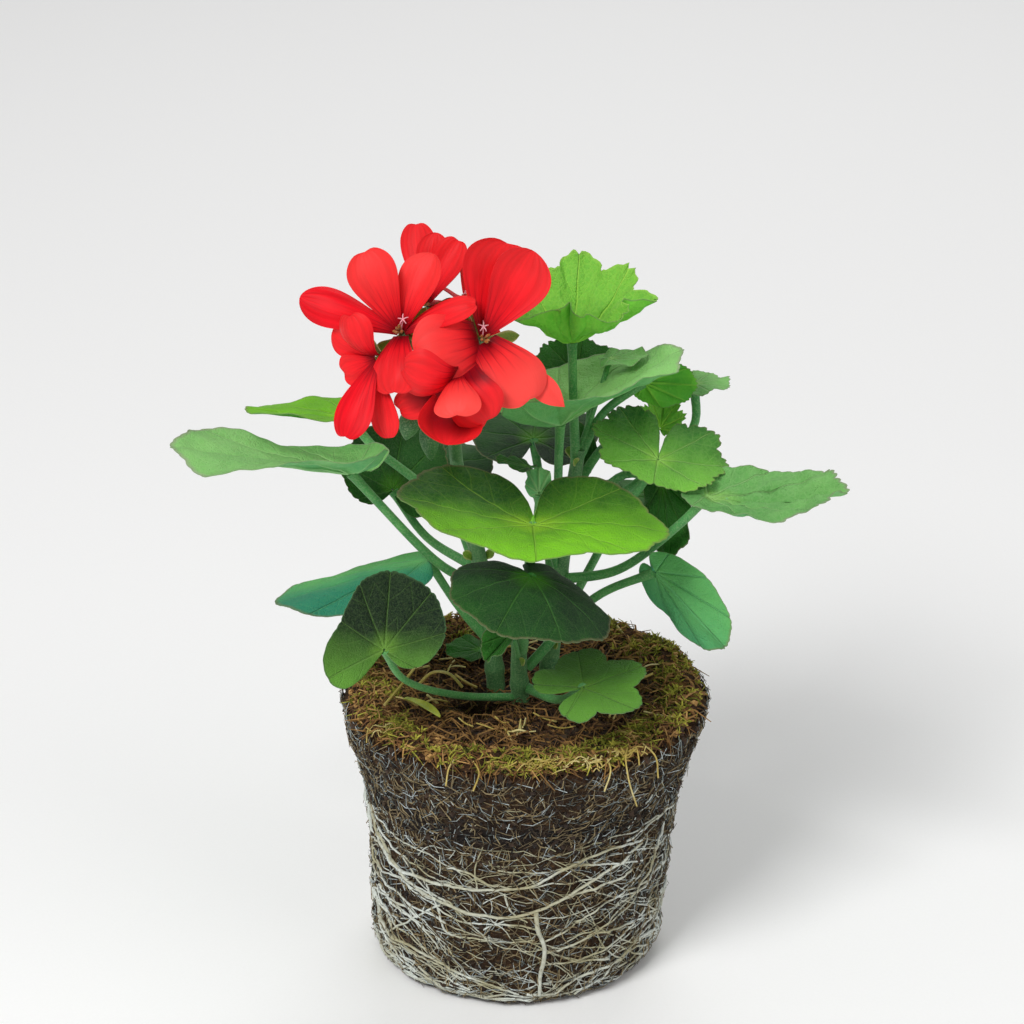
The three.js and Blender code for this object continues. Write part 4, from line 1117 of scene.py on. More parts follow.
# %% Florets
# Some petals get more painted light on their outer part where they face the lamps, and some carry the
# dark of the throat further out, over a hollow or along one side, as painted shade.
FLORETS = {
    "floret_left": {
        "place": (-36.2, -38, 243), "face": (-0.3, 0.25, 0.92), "sepals": (55, 127, 199, 271, 343),
        "petals": [
            {"tip": (-11.6, 25.6, 3), "width": 15.5, "bow": 2, "cup": 2, "painted_glow": 0.7},
            {"tip": (9.7, 24, 2), "width": 13.5, "bow": 2, "cup": 2, "painted_glow": 0.7},
            {"tip": (23.5, 9, 4), "width": 11, "bow": 2, "twist": -35},
            {"tip": (-2, -19, 8), "width": 14.5, "bow": 3, "cup": -1.5, "claw": 5},
            {"tip": (-31, 11, 1), "width": 12, "bow": 3, "cup": -3, "painted_glow": 0.05}]},
    "floret_low_left": {
        "place": (-43.5, -44, 237.1), "face": (-0.5, -0.35, 0.8), "sepals": (150, 222, 294),
        "petals": [
            {"tip": (-10.3, -25, 4), "width": 12.5, "bow": 2, "cup": -1.5, "painted_glow": 0.05},
            {"tip": (3.3, -25.3, -3), "width": 10, "bow": 1, "throat_and_shade": 1.6, "blunt": 0.8},
            {"tip": (-13.7, 8, -4), "width": 11, "bow": 1},
            {"tip": (-11, -4.5, -6), "width": 10, "bow": 1},
            {"tip": (-8.7, 12.7, 8), "width": 12, "bow": 4, "cup": -3}]},
    "floret_right": {
        "place": (-11, -36, 239.8), "face": (0.35, 0.1, 0.93), "sepals": (12, 94, 122),
        "sepal_length": 14,
        "petals": [
            {"tip": (16, 27.3, 1), "width": 19, "bow": 2.5, "cup": 2.5},
            {"tip": (8.5, 31, -4), "width": 22, "bow": 2.5, "cup": 2.5, "sway": 3.5},
            {"tip": (15.4, -19, 6), "width": 18.5, "bow": 3, "claw": 10, "cup": -2, "painted_glow": 1.6},
            {"tip": (25.6, -20.5, 0), "width": 8, "bow": 2, "blunt": 1.1, "painted_glow": 1.6},
            {"tip": (-20.5, -5.5, 9), "width": 19, "bow": 5, "cup": -1, "claw": 12.5, "painted_glow": 0.9}]},
    "floret_behind": {
        "place": (-16, -10, 240.6), "face": (0, 0.6, -0.3), "petals": [
            {"tip": (3.7, 14.7, -4), "width": 12, "bow": 1},
            {"tip": (-10, 8, -15), "width": 12, "bow": 1},
            {"tip": (13, 2, -14), "width": 12, "bow": 1},
            {"tip": (-9, -10, -12), "width": 10, "bow": 1},
            {"tip": (8, -12, -12), "width": 10, "bow": 1}]},
    "floret_front": {
        "place": (-18, -48, 233), "face": (-0.1, -0.5, 0.85), "sepals": (180, 252, 324), "petals": [
            {"tip": (-17, 2, 6), "width": 15, "bow": 6, "cup": -4, "claw": 6},
            {"tip": (-19, -10.7, -5), "width": 11, "bow": 2, "painted_hollow_shade": 0.6},
            {"tip": (-3.7, -21, 3), "width": 18, "bow": -5, "cup": 6, "claw": 8, "painted_hollow_shade": 0.34},
            {"tip": (-0.5, -13, 12), "width": 14, "bow": 3, "cup": -3, "claw": 4, "blunt": 0.7,
             "painted_glow": 1.5},
            {"tip": (9, -14.5, 4), "width": 14.5, "bow": 3, "cup": -3, "claw": 15,
             "painted_side_shade": -0.55}]},
    "floret_back": {
        "place": (-29.4, -9, 240.5), "face": (0, 0.3, 0.9), "petals": [
            {"tip": (3.5, 22.7, 0), "width": 10, "bow": 1, "cup": 1.5},
            {"tip": (11, 21, 4), "width": 11, "bow": 1, "cup": 1.5},
            {"tip": (-3, 27, -6), "width": 11, "bow": 1},
            {"tip": (-14, 6, -16), "width": 11, "bow": 1, "face": (0, 0.9, 0.3)},
            {"tip": (8, 2, -19), "width": 11, "bow": 1, "face": (0, 0.9, 0.3)}]},
}

seed = 0
for floret_name, floret in FLORETS.items():
    for index, petal in enumerate(floret["petals"]):
        seed += 1
        node = f"{floret_name}_petal_{index + 1}"
        hand_over(
            petal_sheet(
                node + "_grown", floret["place"], petal, floret["face"], PETAL, PETAL_THICKNESS,
                seed, RUFFLE, TIP_NOTCH, PETAL_GRID),
            "petal", node)

# %% [markdown]
# One long flower stalk carries the umbel, and each floret hangs on a stalk of its own. Behind the
# petals sit five pointed sepals, and in the throat stand a five-armed stigma and a few stamens.
# Buds hang closed in their sepals.

# %% Flower stalk
UMBEL = (-19.7, -25, 213)
PEDUNCLE = [(-11, 2, 140), (-16, -5, 168), (-19.5, -12, 187), UMBEL]
PEDUNCLE_STEPS = 34
PEDUNCLE_RADIUS = 2.1
PEDUNCLE_FLARE = 0.15
UMBEL_SWELLING = 1.1
SWELLING_STEPS = 2.2
STALK_SIDES = 12
PEDICEL_STEPS = 12
PEDICEL_RADIUS = 0.9
PEDICEL_FLARE = 0.9
FLARE_SHARPNESS = 6
FLORET_LIFT = (0, 0, 2)
BUD_LIFT = (0, -2, 3)
BUD_SINK = 0.15
SEPAL_LENGTH = 10.5
SEPAL_SHAPE = {"width": 3.6, "blunt": 1.0}
SEPAL_DROOP = 2.5
ROUND_TURNS = (18, 90, 162, 234, 306)
STYLE_REACH = (0.6, 4.2, 3.4)
STYLE_GIRTH = 0.26
STYLE_BOW = 0.6
STIGMA_ARM = 1.8
STIGMA_TIP_GIRTH = 0.16
STAMEN_TURN = 36
STAMEN_SPREAD = 1.2
STAMEN_HEIGHT = 2.4
STAMEN_HEIGHT_STEP = 0.6
STAMEN_STOPS = (0, 0.6, 1, 1.25)
STAMEN_GIRTHS = (0.2, 0.2, 0.2, 0.2, 0.25, 0.45, 0.55, 0.45, 0.15)
CLOSED_THROATS = ("floret_front", "floret_low_left")
BUD_ROWS = 26
BUD_COLUMNS = 30
BUD_END = 0.001
BUD_FULLNESS = 0.77
BUD_SEPALS = 5
BUD_RIDGE = 0.07
BUD_GROOVE = 0.04
BUD_TWIST = 1.2
BUDS = [
    {"top": (-33.5, -28, 212), "tip": (-35.5, -29, 202), "radius": 3.6},
    {"top": (-28.5, -24, 206.5), "tip": (-27.5, -24, 192.5), "radius": 3.2},
]

# Small fleshy parts take the same streaks and soft shine as a green stalk: the stigma is pink and
# moist, the anthers are rusty with pollen, and the buds are grey with down.
STYLE = green_stalk("pink_style", "#E86A86", "#FFC8D4")
ANTHER = green_stalk("brown_anther", "#7A2A12", "#C4702A")
BUD_SKIN = green_stalk("downy_bud", "#23502F", "#4F8A4A")


def cross_frame(direction):
    """Two directions square to a given one."""
    direction = unit(direction)
    aside = unit(np.cross(direction, (0.3, 0.2, 1.0)))
    return aside, np.cross(direction, aside)


def bud(name, shape):
    """A closed bud: a spindle with five shallow ridges where its sepals meet."""
    top, tip = (np.array(shape[end], dtype=float) for end in ("top", "tip"))
    aside, other = cross_frame(tip - top)
    share, turn = np.meshgrid(
        np.linspace(BUD_END, 1 - BUD_END, BUD_ROWS),
        np.linspace(0, 2 * math.pi, BUD_COLUMNS, endpoint=False), indexing="ij")
    radius = np.sin(math.pi * share ** BUD_FULLNESS) ** BUD_FULLNESS * shape["radius"]
    ridges = BUD_RIDGE * np.abs(np.sin(BUD_SEPALS / 2 * turn + BUD_TWIST * share))
    radius = radius * (1 + ridges - BUD_GROOVE)
    grid = top + share[..., None] * (tip - top) \
        + (radius * np.cos(turn))[..., None] * aside + (radius * np.sin(turn))[..., None] * other
    quads, ends = ring_faces(BUD_ROWS, BUD_COLUMNS)
    piece = new_piece(name, grid.reshape(-1, 3), quads + ends, [BUD_SKIN])
    piece.data.shade_smooth()
    return piece


def pedicel(end, lift):
    """The path of a floret's own stalk, which bows upward."""
    start, end = np.array(UMBEL, dtype=float), np.array(end, dtype=float)
    return smooth_route([start, (start + end) / 2 + np.array(lift), end], PEDICEL_STEPS)


def outward_from(face, degrees):
    """A direction square to a floret's face, counted from its right side."""
    right = seen((1, 0, 0))
    right = unit(right - right @ face * face)
    turn = math.radians(degrees)
    return right * math.cos(turn) + np.cross(face, right) * math.sin(turn)


print("Flower stalk from", PEDUNCLE[0], "to", UMBEL)

# %% [markdown]
# The long stalk swells where the small ones leave it. Each of those swells again where it carries
# its floret, and two of them bend down to a bud.

# %% Stalks and buds
flower_parts = []
path = smooth_route(PEDUNCLE, PEDUNCLE_STEPS)
share = np.linspace(0, 1, len(path))
swelling = UMBEL_SWELLING * np.exp(-((1 - share) * len(path) / SWELLING_STEPS) ** 2)
routes = [(path, PEDUNCLE_RADIUS * (1 + PEDUNCLE_FLARE - PEDUNCLE_FLARE * share) + swelling)]
for floret in FLORETS.values():
    calyx = np.array(floret["place"]) - unit(seen(floret["face"])) * CALYX_RADIUS
    path = pedicel(calyx, FLORET_LIFT)
    share = np.linspace(0, 1, len(path))
    routes.append((path, PEDICEL_RADIUS * (1 + PEDICEL_FLARE * share ** FLARE_SHARPNESS)))
for shape in BUDS:
    into = np.array(shape["top"]) * (1 - BUD_SINK) + np.array(shape["tip"]) * BUD_SINK
    routes.append((pedicel(into, BUD_LIFT), PEDICEL_RADIUS))
flower_parts.append(stalks("flower_stalks", routes, STALK_SIDES, STEM))
flower_parts += [bud(f"bud_{number}", shape) for number, shape in enumerate(BUDS)]
print("Flower stalks with buds:", len(routes))

# %% [markdown]
# Sepals are small petals with another finish. The throats of two florets are closed by their own
# petals, so nothing stands in them.

# %% Calyxes and throats
styles = []
anthers = []
for number, (floret_name, floret) in enumerate(FLORETS.items()):
    face = unit(seen(floret["face"]))
    centre = np.array(floret["place"], dtype=float)
    for turn in floret.get("sepals", ROUND_TURNS):
        length = floret.get("sepal_length", SEPAL_LENGTH)
        tip = outward_from(face, turn) * length - face * SEPAL_DROOP
        sepal = {"tip": as_seen(tip), "bow": -0.8, "cup": 0.5, **SEPAL_SHAPE}
        flower_parts.append(petal_sheet(
            f"sepal_{number}_{turn}", centre - face * CALYX_RADIUS, sepal, floret["face"], SEPAL,
            SEPAL_THICKNESS, turn))
    if floret_name in CLOSED_THROATS:
        continue
    stigma = centre + seen(STYLE_REACH)
    middle = (centre + stigma) / 2 + face * STYLE_BOW
    styles.append((smooth_route([centre, middle, stigma], 6), STYLE_GIRTH))
    for turn in ROUND_TURNS:
        arm = outward_from(face, turn) * STIGMA_ARM
        styles.append((
            smooth_route([stigma, stigma + arm * 0.6 + face * 0.4, stigma + arm], 5),
            np.linspace(STYLE_GIRTH, STIGMA_TIP_GIRTH, 6)))
        # The five turns leave five different remainders, so no two stamens are of one height.
        height = STAMEN_HEIGHT + STAMEN_HEIGHT_STEP * (turn % 5)
        stamen = outward_from(face, turn + STAMEN_TURN) * STAMEN_SPREAD + face * height
        steps = [centre + stamen * share for share in STAMEN_STOPS]
        anthers.append((smooth_route(steps, 8), np.array(STAMEN_GIRTHS)))
flower_parts.append(stalks("styles", styles, 6, STYLE))
flower_parts.append(stalks("anthers", anthers, 6, ANTHER))
hand_over(join(flower_parts, "flower_stalk_grown"), "green_stem", "flower_stalk")

# %% [markdown]
# The leafy stems are short, fleshy and jointed. At each joint the stem swells a little and carries
# a pair of small pointed stipules.

# %% Stems
STEM_BASE = 86
STEM_RADIUS = 3.3
STEM_TIP_RADIUS = 2.2
STEM_STEP = 1.8
JOINT_GAP = 17
FIRST_JOINT = 1.5
JOINT_SWELLING = 0.55
JOINT_LENGTH = 1.6
STIPULE_TURN = 2.4
STIPULE_FOOT = 1.4
STIPULE_LENGTH = 3.4
STIPULE_LIFT = 3.0
STIPULE_SHAPE = {"width": 2.6, "bow": 0.5, "cup": 0.4}
STEMS = {
    "stem_left": [(-6, 3, STEM_BASE), (-9, 3, 122), (-13, 2, 146), (-17, 4, 160)],
    "stem_front": [(2, -6, STEM_BASE), (1, -9, 112), (2, -14, 128), (3, -17, 139)],
    "stem_right": [(10, 4, STEM_BASE), (13, 4, 120), (17, 5, 155), (21, 5, 184)],
}

for stem_name, points in STEMS.items():
    reach = sum(math.dist(a, b) for a, b in zip(points, points[1:]))
    path = smooth_route(points, round(reach / STEM_STEP))
    run = np.linspace(0, reach, len(path))
    joint = np.abs((run + JOINT_GAP / 2) % JOINT_GAP - JOINT_GAP / 2)
    girths = STEM_RADIUS + (STEM_TIP_RADIUS - STEM_RADIUS) * run / reach
    girths = girths + JOINT_SWELLING * np.exp(-(joint / JOINT_LENGTH) ** 2)
    parts = [stalks(stem_name + "_stalk", [(path, girths)], STALK_SIDES, STEM)]
    for number, height in enumerate(np.arange(JOINT_GAP * FIRST_JOINT, reach, JOINT_GAP)):
        spot = path[round(height / reach * (len(path) - 1))]
        for side in (-1, 1):
            turn = number * STIPULE_TURN + side * STIPULE_TURN / 2
            outward = np.array([math.cos(turn), math.sin(turn), 0.0])
            tip = outward * STIPULE_LENGTH + np.array([0, 0, STIPULE_LIFT])
            stipule = {"tip": as_seen(tip), **STIPULE_SHAPE}
            parts.append(petal_sheet(
                f"{stem_name}_stipule_{number}_{side}", spot + outward * STIPULE_FOOT, stipule,
                (0, 0.2, 1), SEPAL, SEPAL_THICKNESS, number))
    hand_over(join(parts, stem_name + "_grown"), "green_stem", stem_name)

# %% [markdown]
# The root ball kept the shape of the pot it grew in, with a ledge where the pot's lip began. Peat
# is dark, crumbly and full of fibres, so three things are layered: a solid with a lumpy
# surface, thousands of fibres and crumbs lying on it, and the roots over all. A displaced
# sphere would lose the pot's profile, so the solid is turned from that profile.

# %% Peat finish
LEDGE_LOW = 62
LEDGE_HIGH = 76
BALL_HEIGHT = 95
BALL_RADIUS = 61.5
BALL_LEAN = 3.2
CLOD_SIZE = 5
GRIT_SIZE = 1
THREAD_SIZE = 4
THREAD_TURN = (0.4, 0.3, 0.9)
THREAD_SQUEEZE = (1.0, 4.0, 4.0)
PEAT_RELIEF = 1.2
THREAD_RAMP = ramp(0.52, 0.68, 0.0, 0.65)
TOP_RAMP = ramp((BALL_HEIGHT - 3) * MM, (BALL_HEIGHT - 1) * MM, 0.0, 0.5)
LEDGE_SHADE_START = ramp(LEDGE_LOW * MM, (LEDGE_LOW + 4) * MM, 0.0, 0.7)
LEDGE_SHADE_END = ramp((LEDGE_HIGH - 5) * MM, LEDGE_HIGH * MM, 1.0, 0.0)

# Moist peat swallows light, so it is rough and almost black, with brown clods and lighter decayed
# threads. Its top is a warmer brown, and the dark cool band under the ledge is painted shade.
PEAT, tree, place = new_material("dark_fibrous_peat")
height = add_node(tree, "ShaderNodeSeparateXYZ", {0: place}).outputs["Z"]
clods = add_node(
    tree, "ShaderNodeTexNoise", {"Vector": place, "Scale": per_metre(CLOD_SIZE), "Detail": 4.0})
grit = add_node(
    tree, "ShaderNodeTexNoise", {"Vector": place, "Scale": per_metre(GRIT_SIZE), "Detail": 3.0})
squeezed = add_node(
    tree, "ShaderNodeMapping",
    {"Vector": place, "Rotation": THREAD_TURN, "Scale": THREAD_SQUEEZE})
threads = add_node(
    tree, "ShaderNodeTexNoise",
    {"Vector": squeezed, "Scale": per_metre(THREAD_SIZE), "Detail": 3.0})
thread_mask = add_node(tree, "ShaderNodeMapRange", {"Value": threads, **THREAD_RAMP})
top_mask = add_node(tree, "ShaderNodeMapRange", {"Value": height, **TOP_RAMP})
low_edge = add_node(tree, "ShaderNodeMapRange", {"Value": height, **LEDGE_SHADE_START})
high_edge = add_node(tree, "ShaderNodeMapRange", {"Value": height, **LEDGE_SHADE_END})
ledge_shade = add_node(tree, "ShaderNodeMath", {0: low_edge, 1: high_edge}, operation="MULTIPLY")
layers = [
    "#120D0A", (clods, "#4A3523"), (thread_mask, "#6E5638"), (top_mask, "#3A2416"),
    (ledge_shade, "#15181B")]
finish_material(
    tree, layers, grit, PEAT_RELIEF * MM, {"Roughness": 0.95, "Specular IOR Level": 0.2})

BIT_RELIEF = 0.3
LOW_TONES = ramp(0.0, 0.6, 0.0, 1.0)
HIGH_TONES = ramp(0.6, 1.0, 0.0, 1.0)
DULL_SPOTS = ramp(0.3, 0.7, 0.45, 0.0)


def toned(name, dark, middle, light, grain, roughness):
    """A finish for strewn bits, roots and straw, each with its own tone from dark to light."""
    material, tree, place = new_material(name)
    tone = add_node(tree, "ShaderNodeAttribute", attribute_name="tone").outputs["Fac"]
    fine = add_node(
        tree, "ShaderNodeTexNoise", {"Vector": place, "Scale": per_metre(grain), "Detail": 2.0})
    low = add_node(tree, "ShaderNodeMapRange", {"Value": tone, **LOW_TONES})
    high = add_node(tree, "ShaderNodeMapRange", {"Value": tone, **HIGH_TONES})
    dulled = add_node(tree, "ShaderNodeMapRange", {"Value": fine, **DULL_SPOTS})
    finish_material(
        tree, [dark, (low, middle), (high, light), (dulled, dark)], fine, BIT_RELIEF * MM,
        {"Roughness": roughness})
    return material


# Dead fibres and litter are dull. Live roots and fresh straw are smoother and catch some light.
# Their grain is finer than a millimetre in life and is drawn coarser, so that it shows.
COIR = toned("coir_fibre", "#17120E", "#4A3D2C", "#A3916A", 1.5, 0.85)
ROOT_HAIR = toned("blue_white_root_hair", "#30383C", "#78847F", "#CCD6D6", 1.5, 0.7)
CRUMB = toned("peat_crumb", "#0C0B0C", "#231A14", "#4C3929", 1.0, 0.95)
TOP_FIBRE = toned("rotting_leaf_fibre", "#170F09", "#553519", "#A87C40", 1.5, 0.8)
LITTER = toned("dry_leaf_litter", "#2E1C0E", "#84562A", "#D2A460", 1.5, 0.8)
MOSS = toned("sphagnum_moss", "#343A12", "#84861E", "#C8C04C", 1.2, 0.85)
ROOT = toned("white_root_bark", "#787052", "#B8B492", "#E2E9E2", 1.4, 0.7)
STRAW = toned("dry_straw", "#8C7430", "#C7B05A", "#EFE3A8", 1.2, 0.6)
print("Peat, fibre, moss, root and straw finishes made")

# %% Ball
BALL_PROFILE = [
    (0, 0), (0.7, 0), (0.77, 0.02), (0.8, 0.07), (0.82, 0.32), (0.855, 0.62), (0.88, 0.7),
    (0.92, 0.79), (0.985, 0.925), (1, 0.975), (0.95, 1), (0, 1)]
BALL_STEP = 1.45
BALL_COLUMNS = 250
HOLE = (-12.1, -10.7)
HOLE_RADIUS = 7
HOLE_DEPTH = 9
LUMP_SIZE = 8
LUMP_HEIGHT = 1.25
LUMP_ROUGHNESS = (0.9, 2.1, 3)
GRAIN_SIZE = 2.1
GRAIN_HEIGHT = 0.6
SLACK = 0.01
profile = np.array(BALL_PROFILE) * (BALL_RADIUS, BALL_HEIGHT)
side_profile = profile[1:10]


def side_radius(height):
    """How far out the side of the smooth ball lies at a height."""
    return np.interp(height, side_profile[:, 1], side_profile[:, 0])


def lumps(point):
    """How far the peat stands proud at a point, in millimetres."""
    spot = Vector(point)
    coarse = noise.fractal(spot / LUMP_SIZE, *LUMP_ROUGHNESS)
    fine = noise.noise(spot / GRAIN_SIZE)
    return LUMP_HEIGHT * coarse + GRAIN_HEIGHT * fine


def ball_point(turn, radius, height):
    """A point of the ball with its lean; turn 0 is the front and it grows to the right."""
    lean = BALL_LEAN * height / BALL_HEIGHT
    return np.array([lean + radius * math.sin(turn), -radius * math.cos(turn), height])


def side_point(turn, height, lift):
    """A point on the rough side of the ball, raised by lift."""
    radius = float(side_radius(height))
    smooth_point = ball_point(turn, radius, height)
    return ball_point(turn, radius + lumps(smooth_point) + lift, height)


def level_spot(turn, radius):
    """How far right and how far back a point on top of the ball lies."""
    return BALL_LEAN + radius * math.sin(turn), -radius * math.cos(turn)


def top_point(x, y, lift):
    """A point on the rough top of the ball."""
    spot = np.array([x, y, BALL_HEIGHT])
    hole = math.dist((x, y), HOLE) / HOLE_RADIUS
    return spot + (0, 0, lumps(spot) - HOLE_DEPTH * math.exp(-hole ** 2) + lift)


run = np.concatenate([[0], np.cumsum(np.linalg.norm(np.diff(profile, axis=0), axis=1))])
stops = np.linspace(0, run[-1], round(run[-1] / BALL_STEP))[1:-1]
ring_radius = np.interp(stops, run, profile[:, 0])
ring_height = np.interp(stops, run, profile[:, 1])
turns = np.linspace(0, 2 * math.pi, BALL_COLUMNS, endpoint=False)
points = []
for radius, height in zip(ring_radius, ring_height):
    on_top = height > BALL_HEIGHT - SLACK
    under = height < SLACK
    for turn in turns:
        spot = ball_point(turn, radius, height)
        if on_top:
            spot = top_point(spot[0], spot[1], 0)
        elif not under:
            spot = ball_point(turn, radius + lumps(spot), height)
            spot[2] = max(spot[2], 0)
        points.append(spot)
quads, ends = ring_faces(len(stops), BALL_COLUMNS)
ball = new_piece("root_ball_peat", points, quads + ends, [PEAT])
ball.data.shade_smooth()
hand_over(ball, "peat", "root_ball")

# %% [markdown]
# Fibres, crumbs and moss are a few small shapes strewn thousands of times. Geometry Nodes
# distribute points over a bed, put a random shape on each, turn and scale it at random, and give
# it a tone that its material reads. The seed is fixed, so each run strews the same way.

# %% Strewing tree
strew_tree, given = new_tree("strewn_bits", {
    "Bed": "NodeSocketGeometry", "Bits": "NodeSocketCollection", "Kinds": "NodeSocketInt",
    "Density": "NodeSocketFloat", "Smallest": "NodeSocketFloat", "Largest": "NodeSocketFloat",
    "Tilt": "NodeSocketFloat", "Seed": "NodeSocketInt", "Finish": "NodeSocketMaterial"})
cover = add_node(strew_tree, "GeometryNodeInputNamedAttribute", {"Name": "cover"})
density = add_node(
    strew_tree, "ShaderNodeMath", {0: cover, 1: given["Density"]}, operation="MULTIPLY")
dots = add_node(strew_tree, "GeometryNodeDistributePointsOnFaces", {
    "Mesh": given["Bed"], "Density": density, "Seed": given["Seed"]})
bits = add_node(
    strew_tree, "GeometryNodeCollectionInfo",
    {"Collection": given["Bits"], "Separate Children": True, "Reset Children": True})
least = add_node(strew_tree, "ShaderNodeMath", {0: given["Tilt"], 1: -1.0}, operation="MULTIPLY")
low_turn = add_node(strew_tree, "ShaderNodeCombineXYZ", {"X": least, "Y": least, "Z": 0.0})
high_turn = add_node(
    strew_tree, "ShaderNodeCombineXYZ",
    {"X": given["Tilt"], "Y": given["Tilt"], "Z": 2 * math.pi})
spin = add_node(
    strew_tree, "FunctionNodeRandomValue",
    {"Min": low_turn, "Max": high_turn, "Seed": given["Seed"]}, data_type="FLOAT_VECTOR")
spin_turn = add_node(strew_tree, "FunctionNodeEulerToRotation", {0: spin})
turned = add_node(
    strew_tree, "FunctionNodeRotateRotation",
    {"Rotation": dots.outputs["Rotation"], "Rotate By": spin_turn}, rotation_space="LOCAL")
sized = add_node(
    strew_tree, "FunctionNodeRandomValue",
    {"Min": given["Smallest"], "Max": given["Largest"], "Seed": given["Seed"]},
    data_type="FLOAT")
kind = add_node(
    strew_tree, "FunctionNodeRandomValue", {"Min": 0, "Max": given["Kinds"], "Seed": given["Seed"]},
    data_type="INT")
strewn = add_node(strew_tree, "GeometryNodeInstanceOnPoints", {
    "Points": dots.outputs["Points"], "Instance": bits, "Pick Instance": True,
    "Instance Index": kind, "Rotation": turned, "Scale": sized})
tone = add_node(
    strew_tree, "FunctionNodeRandomValue", {"Min": 0.0, "Max": 1.0, "Seed": given["Seed"]},
    data_type="FLOAT")
toned_bits = add_node(
    strew_tree, "GeometryNodeStoreNamedAttribute",
    {"Geometry": strewn, "Name": "tone", "Value": tone}, data_type="FLOAT", domain="INSTANCE")
solid = add_node(strew_tree, "GeometryNodeRealizeInstances", {0: toned_bits})
painted = add_node(
    strew_tree, "GeometryNodeSetMaterial", {"Geometry": solid, "Material": given["Finish"]})
add_node(strew_tree, "NodeGroupOutput", {0: painted})


print("Strewing tree has", len(strew_tree.nodes), "nodes")

# %% [markdown]
# The shapes to strew wait in a collection of their own that isn't part of the scene, and are
# removed once the tree has used them. Trees count per square metre, people per square centimetre.

# %% Strewing
PER_SQUARE_CM = 10000.0


def bit_collection(name, shapes):
    """A collection of small shapes, each a list of short stalks."""
    collection = bpy.data.collections.new(name)
    for number, (routes, sides) in enumerate(shapes):
        bit = stalks(f"{name}_{number}", routes, sides, None, is_smooth=False)
        bpy.context.scene.collection.objects.unlink(bit)
        collection.objects.link(bit)
    return collection


def clear_collection(collection):
    """Removes the shapes once they have been strewn."""
    for bit in list(collection.objects):
        bpy.data.objects.remove(bit)
    bpy.data.collections.remove(collection)


def bed(name, rings_of_points, cover_of):
    """A surface to strew on, from closed rings of points."""
    quads, _ = ring_faces(len(rings_of_points), len(rings_of_points[0]))
    points = np.array(rings_of_points).reshape(-1, 3)
    surface = new_piece(name, points, quads)
    mark(surface, "cover", [cover_of(point) for point in points])
    return surface


def strew(name, surface, shapes, finish, density, sizes, tilt, seed):
    """Strews shapes over a bed; density is bits per square centimetre."""
    collection = bit_collection(name + "_bits", shapes)
    piece = run_tree(surface, strew_tree, {
        "Bits": collection, "Kinds": len(shapes) - 1, "Density": density * PER_SQUARE_CM,
        "Smallest": sizes[0], "Largest": sizes[1], "Tilt": math.radians(tilt), "Seed": seed,
        "Finish": finish})
    clear_collection(collection)
    piece.name = name
    piece.data.name = name
    return piece


print("One bit per square centimetre is", PER_SQUARE_CM, "per square metre")

# %% [markdown]
# The side of the ball gets fibres, fine root hairs and crumbs, and the top its own fibres and
# crumbs. A function of the place says where they lie thick and where thin.

# %% Fibres and crumbs
RNG_SEED = 7
FIBRE_LIFT = 0.2
FIBRE_END = 0.15
FIBRE_TAPER = np.array([0.6, 1, 0.4])
CRUMB_TAPER = np.array([0.6, 1.1, 0.55])
CRUMB_GIRTH = (0.35, 0.6)
FEW_CRUMBS = 0.4
FEWEST_HAIRS = 0.35
HAIR_REACH = 45
SIDE_ROWS = 60
TOP_ROWS = 26
BED_COLUMNS = 160
rng = np.random.default_rng(RNG_SEED)


def fibre(length, girth, curl):
    """A short bent fibre that lies along X."""
    bend_up, bend_side = rng.uniform(-curl, curl, 2)
    points = [
        (-length / 2, 0, FIBRE_LIFT), (0, bend_side, FIBRE_LIFT + abs(bend_up)),
        (length / 2, 0, FIBRE_END)]
    return [(smooth_route(points, 2), FIBRE_TAPER * girth)]


def straight_fibre(length, girth):
    """The cheapest fibre: two ends and three sides."""
    return [(np.array([(-length / 2, 0, 0.1), (length / 2, 0, 0.35)]), np.array([1, 0.5]) * girth)]


def crumb(size):
    """A rough lump, as a very short fat stalk."""
    girths = rng.uniform(*CRUMB_GIRTH, 3) * size * CRUMB_TAPER
    points = np.stack([np.linspace(-size / 2, size / 2, 3), rng.uniform(-0.2, 0.2, 3) * size,
                       rng.uniform(-0.1, 0.2, 3) * size], axis=1)
    return [(points, girths)]


bed_turns = np.linspace(0, 2 * math.pi, BED_COLUMNS, endpoint=False)
side_rings = [[side_point(turn, height, 0.0) for turn in bed_turns]
              for height in np.linspace(1.5, BALL_HEIGHT - 0.5, SIDE_ROWS)]


def crumb_cover(point):
    """Fewer crumbs where the roots hold the peat."""
    return 1.0 if point[2] > LEDGE_LOW else FEW_CRUMBS


def side_light_hair_cover(point):
    """Root hairs are thick on the flanks, where they paint the light that falls on the sides, and
    thin out to the front and back.
    """
    return FEWEST_HAIRS + (1 - FEWEST_HAIRS) * min(1, abs(point[0] - BALL_LEAN) / HAIR_REACH)


side_fibres = strew(
    "peat_side_fibres", bed("side_bed", side_rings, lambda point: 1.0),
    [(straight_fibre(5, 0.17), 3), (fibre(5, 0.2, 0.9), 3), (straight_fibre(3.2, 0.2), 3),
     (fibre(7, 0.14, 1.4), 3)],
    COIR, 38, (0.5, 1.35), 16, 11)
keep_off_floor(side_fibres)
hand_over(side_fibres, "peat")
side_hairs = strew(
    "root_hairs", bed("side_bed", side_rings, side_light_hair_cover),
    [(straight_fibre(4.5, 0.13), 3), (straight_fibre(3, 0.16), 3), (fibre(6, 0.12, 1.0), 3)],
    ROOT_HAIR, 24, (0.5, 1.4), 14, 21)
keep_off_floor(side_hairs)
hand_over(side_hairs, "root")
side_crumbs = strew(
    "peat_side_crumbs", bed("side_bed", side_rings, crumb_cover),
    [(crumb(2.0), 4), (crumb(1.5), 4), (crumb(1.1), 4)], CRUMB, 13, (0.5, 1.25), 60, 15)
